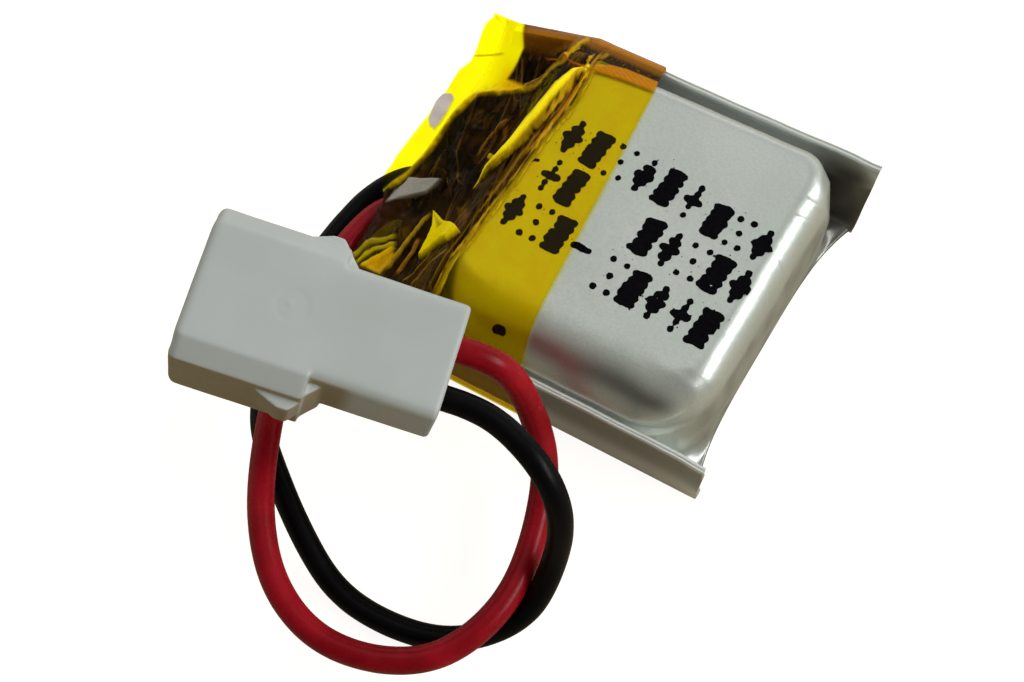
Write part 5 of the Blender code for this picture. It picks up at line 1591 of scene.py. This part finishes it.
# Slot, material name, colour, roughness, metal, colour variation, grain per mm, other settings
FINISH_ROWS = (
    ("copper_foil", "graphite_coat", (0.030, 0.030, 0.034), 0.75, 0.1, 0.25, 4.0, {}),
    ("cathode_foil", "cathode_coat", (0.050, 0.052, 0.062), 0.70, 0.1, 0.20, 4.0, {}),
    ("separator", "separator_film", (0.86, 0.87, 0.86), 0.45, 0.0, 0.05, 2.0, {}),
    ("green_tape", "green_closing_tape", (0.09, 0.38, 0.19), 0.35, 0.0, 0.15, 2.5, {}),
    ("aluminium_tab", "aluminium_strip", (0.78, 0.79, 0.80), 0.28, 1.0, 0.06, 6.0, {}),
    ("nickel", "nickel_strip", (0.64, 0.61, 0.56), 0.26, 1.0, 0.10, 6.0, {}),
    ("tab_film", "sealing_film", (0.86, 0.86, 0.80), 0.40, 0.0, 0.08, 3.0, {"subsurface": 0.1}),
    ("board", "green_board", (0.015, 0.105, 0.040), 0.38, 0.0, 0.30, 3.5, {"coat": 0.3}),
    ("chip", "moulded_chip", (0.018, 0.018, 0.020), 0.48, 0.0, 0.30, 6.0, {}),
    ("ceramic", "ceramic_block", (0.42, 0.27, 0.16), 0.42, 0.0, 0.15, 5.0, {}),
    ("solder", "solder_dome", (0.66, 0.67, 0.68), 0.22, 1.0, 0.10, 5.0, {"bump": 0.4}),
    ("fibre_strip", "fibre_strip", (0.19, 0.25, 0.21), 0.80, 0.0, 0.20, 6.0, {"bump": 0.6}),
)
FINISHES = {slot: plain(*values, **extra) for slot, *values, extra in FINISH_ROWS}
FINISHES["tinned_copper"] = TINNED


def dress_nodes():
    slots = {row["node"]: row["material_slot"] for row in FRAME["record"]["subparts"]}
    for name, obj in FRAME["nodes"].items():
        material = FINISHES.get(slots.get(name))
        if obj.hide_render or material is None:
            continue
        obj.data.materials.clear()
        obj.data.materials.append(material)


# ---------------------------------------------------------------- stage

FLOOR_HALF, FLOOR_Z = 400.0, -0.13
# Floor's glow as other surfaces see it, and as the camera does
FLOOR_GLOW = (0.04, 0.90)
# Name, place, target, size, power
LIGHTS = (
    ("key", (-30, 60, 170), (0, 0, 3), (120, 120), 0.022),
    ("rim", (135, 38, 98), (4, 0, 4), (110, 50), 0.145),
)
# Sky brightness by the upward part of the direction
SKY = ((0.0, 1.0), (0.18, 1.10), (0.45, 0.62), (0.75, 0.40), (1.0, 0.365))
# Camera's place, its three axes, and its sensor and lens in mm
EYE = (23.80089804, -27.83020564, 73.10461743)
RIGHT = (0.84684011, 0.51389956, -0.13700027)
UP = (-0.42421608, 0.80803567, 0.408802)
BACK = (0.32078427, -0.28807221, 0.90228147)
SENSOR_W, LENS = 36, 66.796875


def add_floor():
    n = new_material("pale_floor")
    grain = n.noise(scale=0.35)
    tint = n.mix(n.span(grain, (0.3, 0.7)), (0.50, 0.42, 0.27), (0.55, 0.465, 0.31))
    matt = n.principled(Base_Color=tint, Roughness=0.9)
    seen = n.add("LightPath").outputs["Is Camera Ray"]
    strength = n.span(seen, (0, 1), to=FLOOR_GLOW)
    glow = n.add("Emission", {"Color": (1, 1, 1), "Strength": strength}).outputs[0]
    material = n.finish(n.add("AddShader", {0: matt, 1: glow}).outputs[0])
    verts = [(x * FLOOR_HALF, y * FLOOR_HALF, FLOOR_Z) for x, y in ((-1, -1), (1, -1), (1, 1), (-1, 1))]
    make("floor", verts, [(0, 1, 2, 3)], material, outward=False)


def add_world():
    """A sky warm and dim on the near side and dimmer beyond the folded end."""
    world = bpy.data.worlds.new("studio")
    n = Nodes(world, "OutputWorld", "Generated")
    direction = n.add("SeparateXYZ", {0: n.where}).outputs
    sky = n.ramp(direction["Z"], [(at, (value, value, value * 0.99)) for at, value in SKY])
    side = n.span(direction["Y"], (-1.0, 0.4), to=(0.16, 1.0))
    warm = n.ramp(n.span(direction["Y"], (-1.0, 0.6)), ((0, (1.0, 0.90, 0.66)), (1, (1, 1, 1))))
    # Inputs 6 and 7 are the two colours, and output 2 is their product.
    both = n.add("Mix", {"Factor": 1.0, 6: sky, 7: warm}, data_type="RGBA", blend_type="MULTIPLY")
    ahead = n.span(direction["X"], (0.0, 1.0), to=(1.0, 0.50))
    light = {"Color": both.outputs[2], "Strength": n.times(side, ahead)}
    back = n.add("Background", light).outputs[0]
    # The camera sees a plain pale backdrop.
    backdrop = n.add("Background", {"Color": (1, 1, 1)}).outputs[0]
    seen = n.add("LightPath").outputs["Is Camera Ray"]
    n.finish(n.mix_shaders(seen, back, backdrop))
    bpy.context.scene.world = world


def add_lights():
    for name, place, target, size, power in LIGHTS:
        light = bpy.data.lights.new(name, "AREA")
        light.shape = "RECTANGLE"
        light.size, light.size_y = size[0] * MM, size[1] * MM
        light.energy = power
        obj = add_object(name, light)
        obj.location = Vector(place) * MM
        aim = (Vector(target) - Vector(place)).normalized()
        obj.rotation_euler = aim.to_track_quat("-Z", "Y").to_euler()
        obj.visible_camera = False


def add_camera():
    data = bpy.data.cameras.new("camera")
    data.sensor_width = SENSOR_W
    data.lens = LENS
    data.clip_start, data.clip_end = 0.001, 10
    obj = add_object("camera", data)
    rows = [[RIGHT[k], UP[k], BACK[k], EYE[k] * MM] for k in range(3)]
    obj.matrix_world = Matrix(rows + [[0, 0, 0, 1]])
    bpy.context.scene.camera = obj


# Builder, material slot, CAD nodes the piece stands in for
for build, node_slot, nodes in (
    (add_cup, "laminate", ("pouch_front", "pouch_back")),
    (add_near_seal, "laminate", ()),
    (add_far_seal, "laminate", ()),
    (add_tape, "polyimide", ("tape_wrap", "tape_end_strip")),
    (add_ink, "laminate", ()),
):
    piece = build()
    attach(piece, "cell")
    if nodes:
        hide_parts(*nodes)
add_leads()
add_plug()
dress_nodes()
add_floor()
add_world()
add_lights()
add_camera()
bpy.context.scene.view_settings.view_transform = "Standard"
bpy.context.scene.view_settings.look = "None"
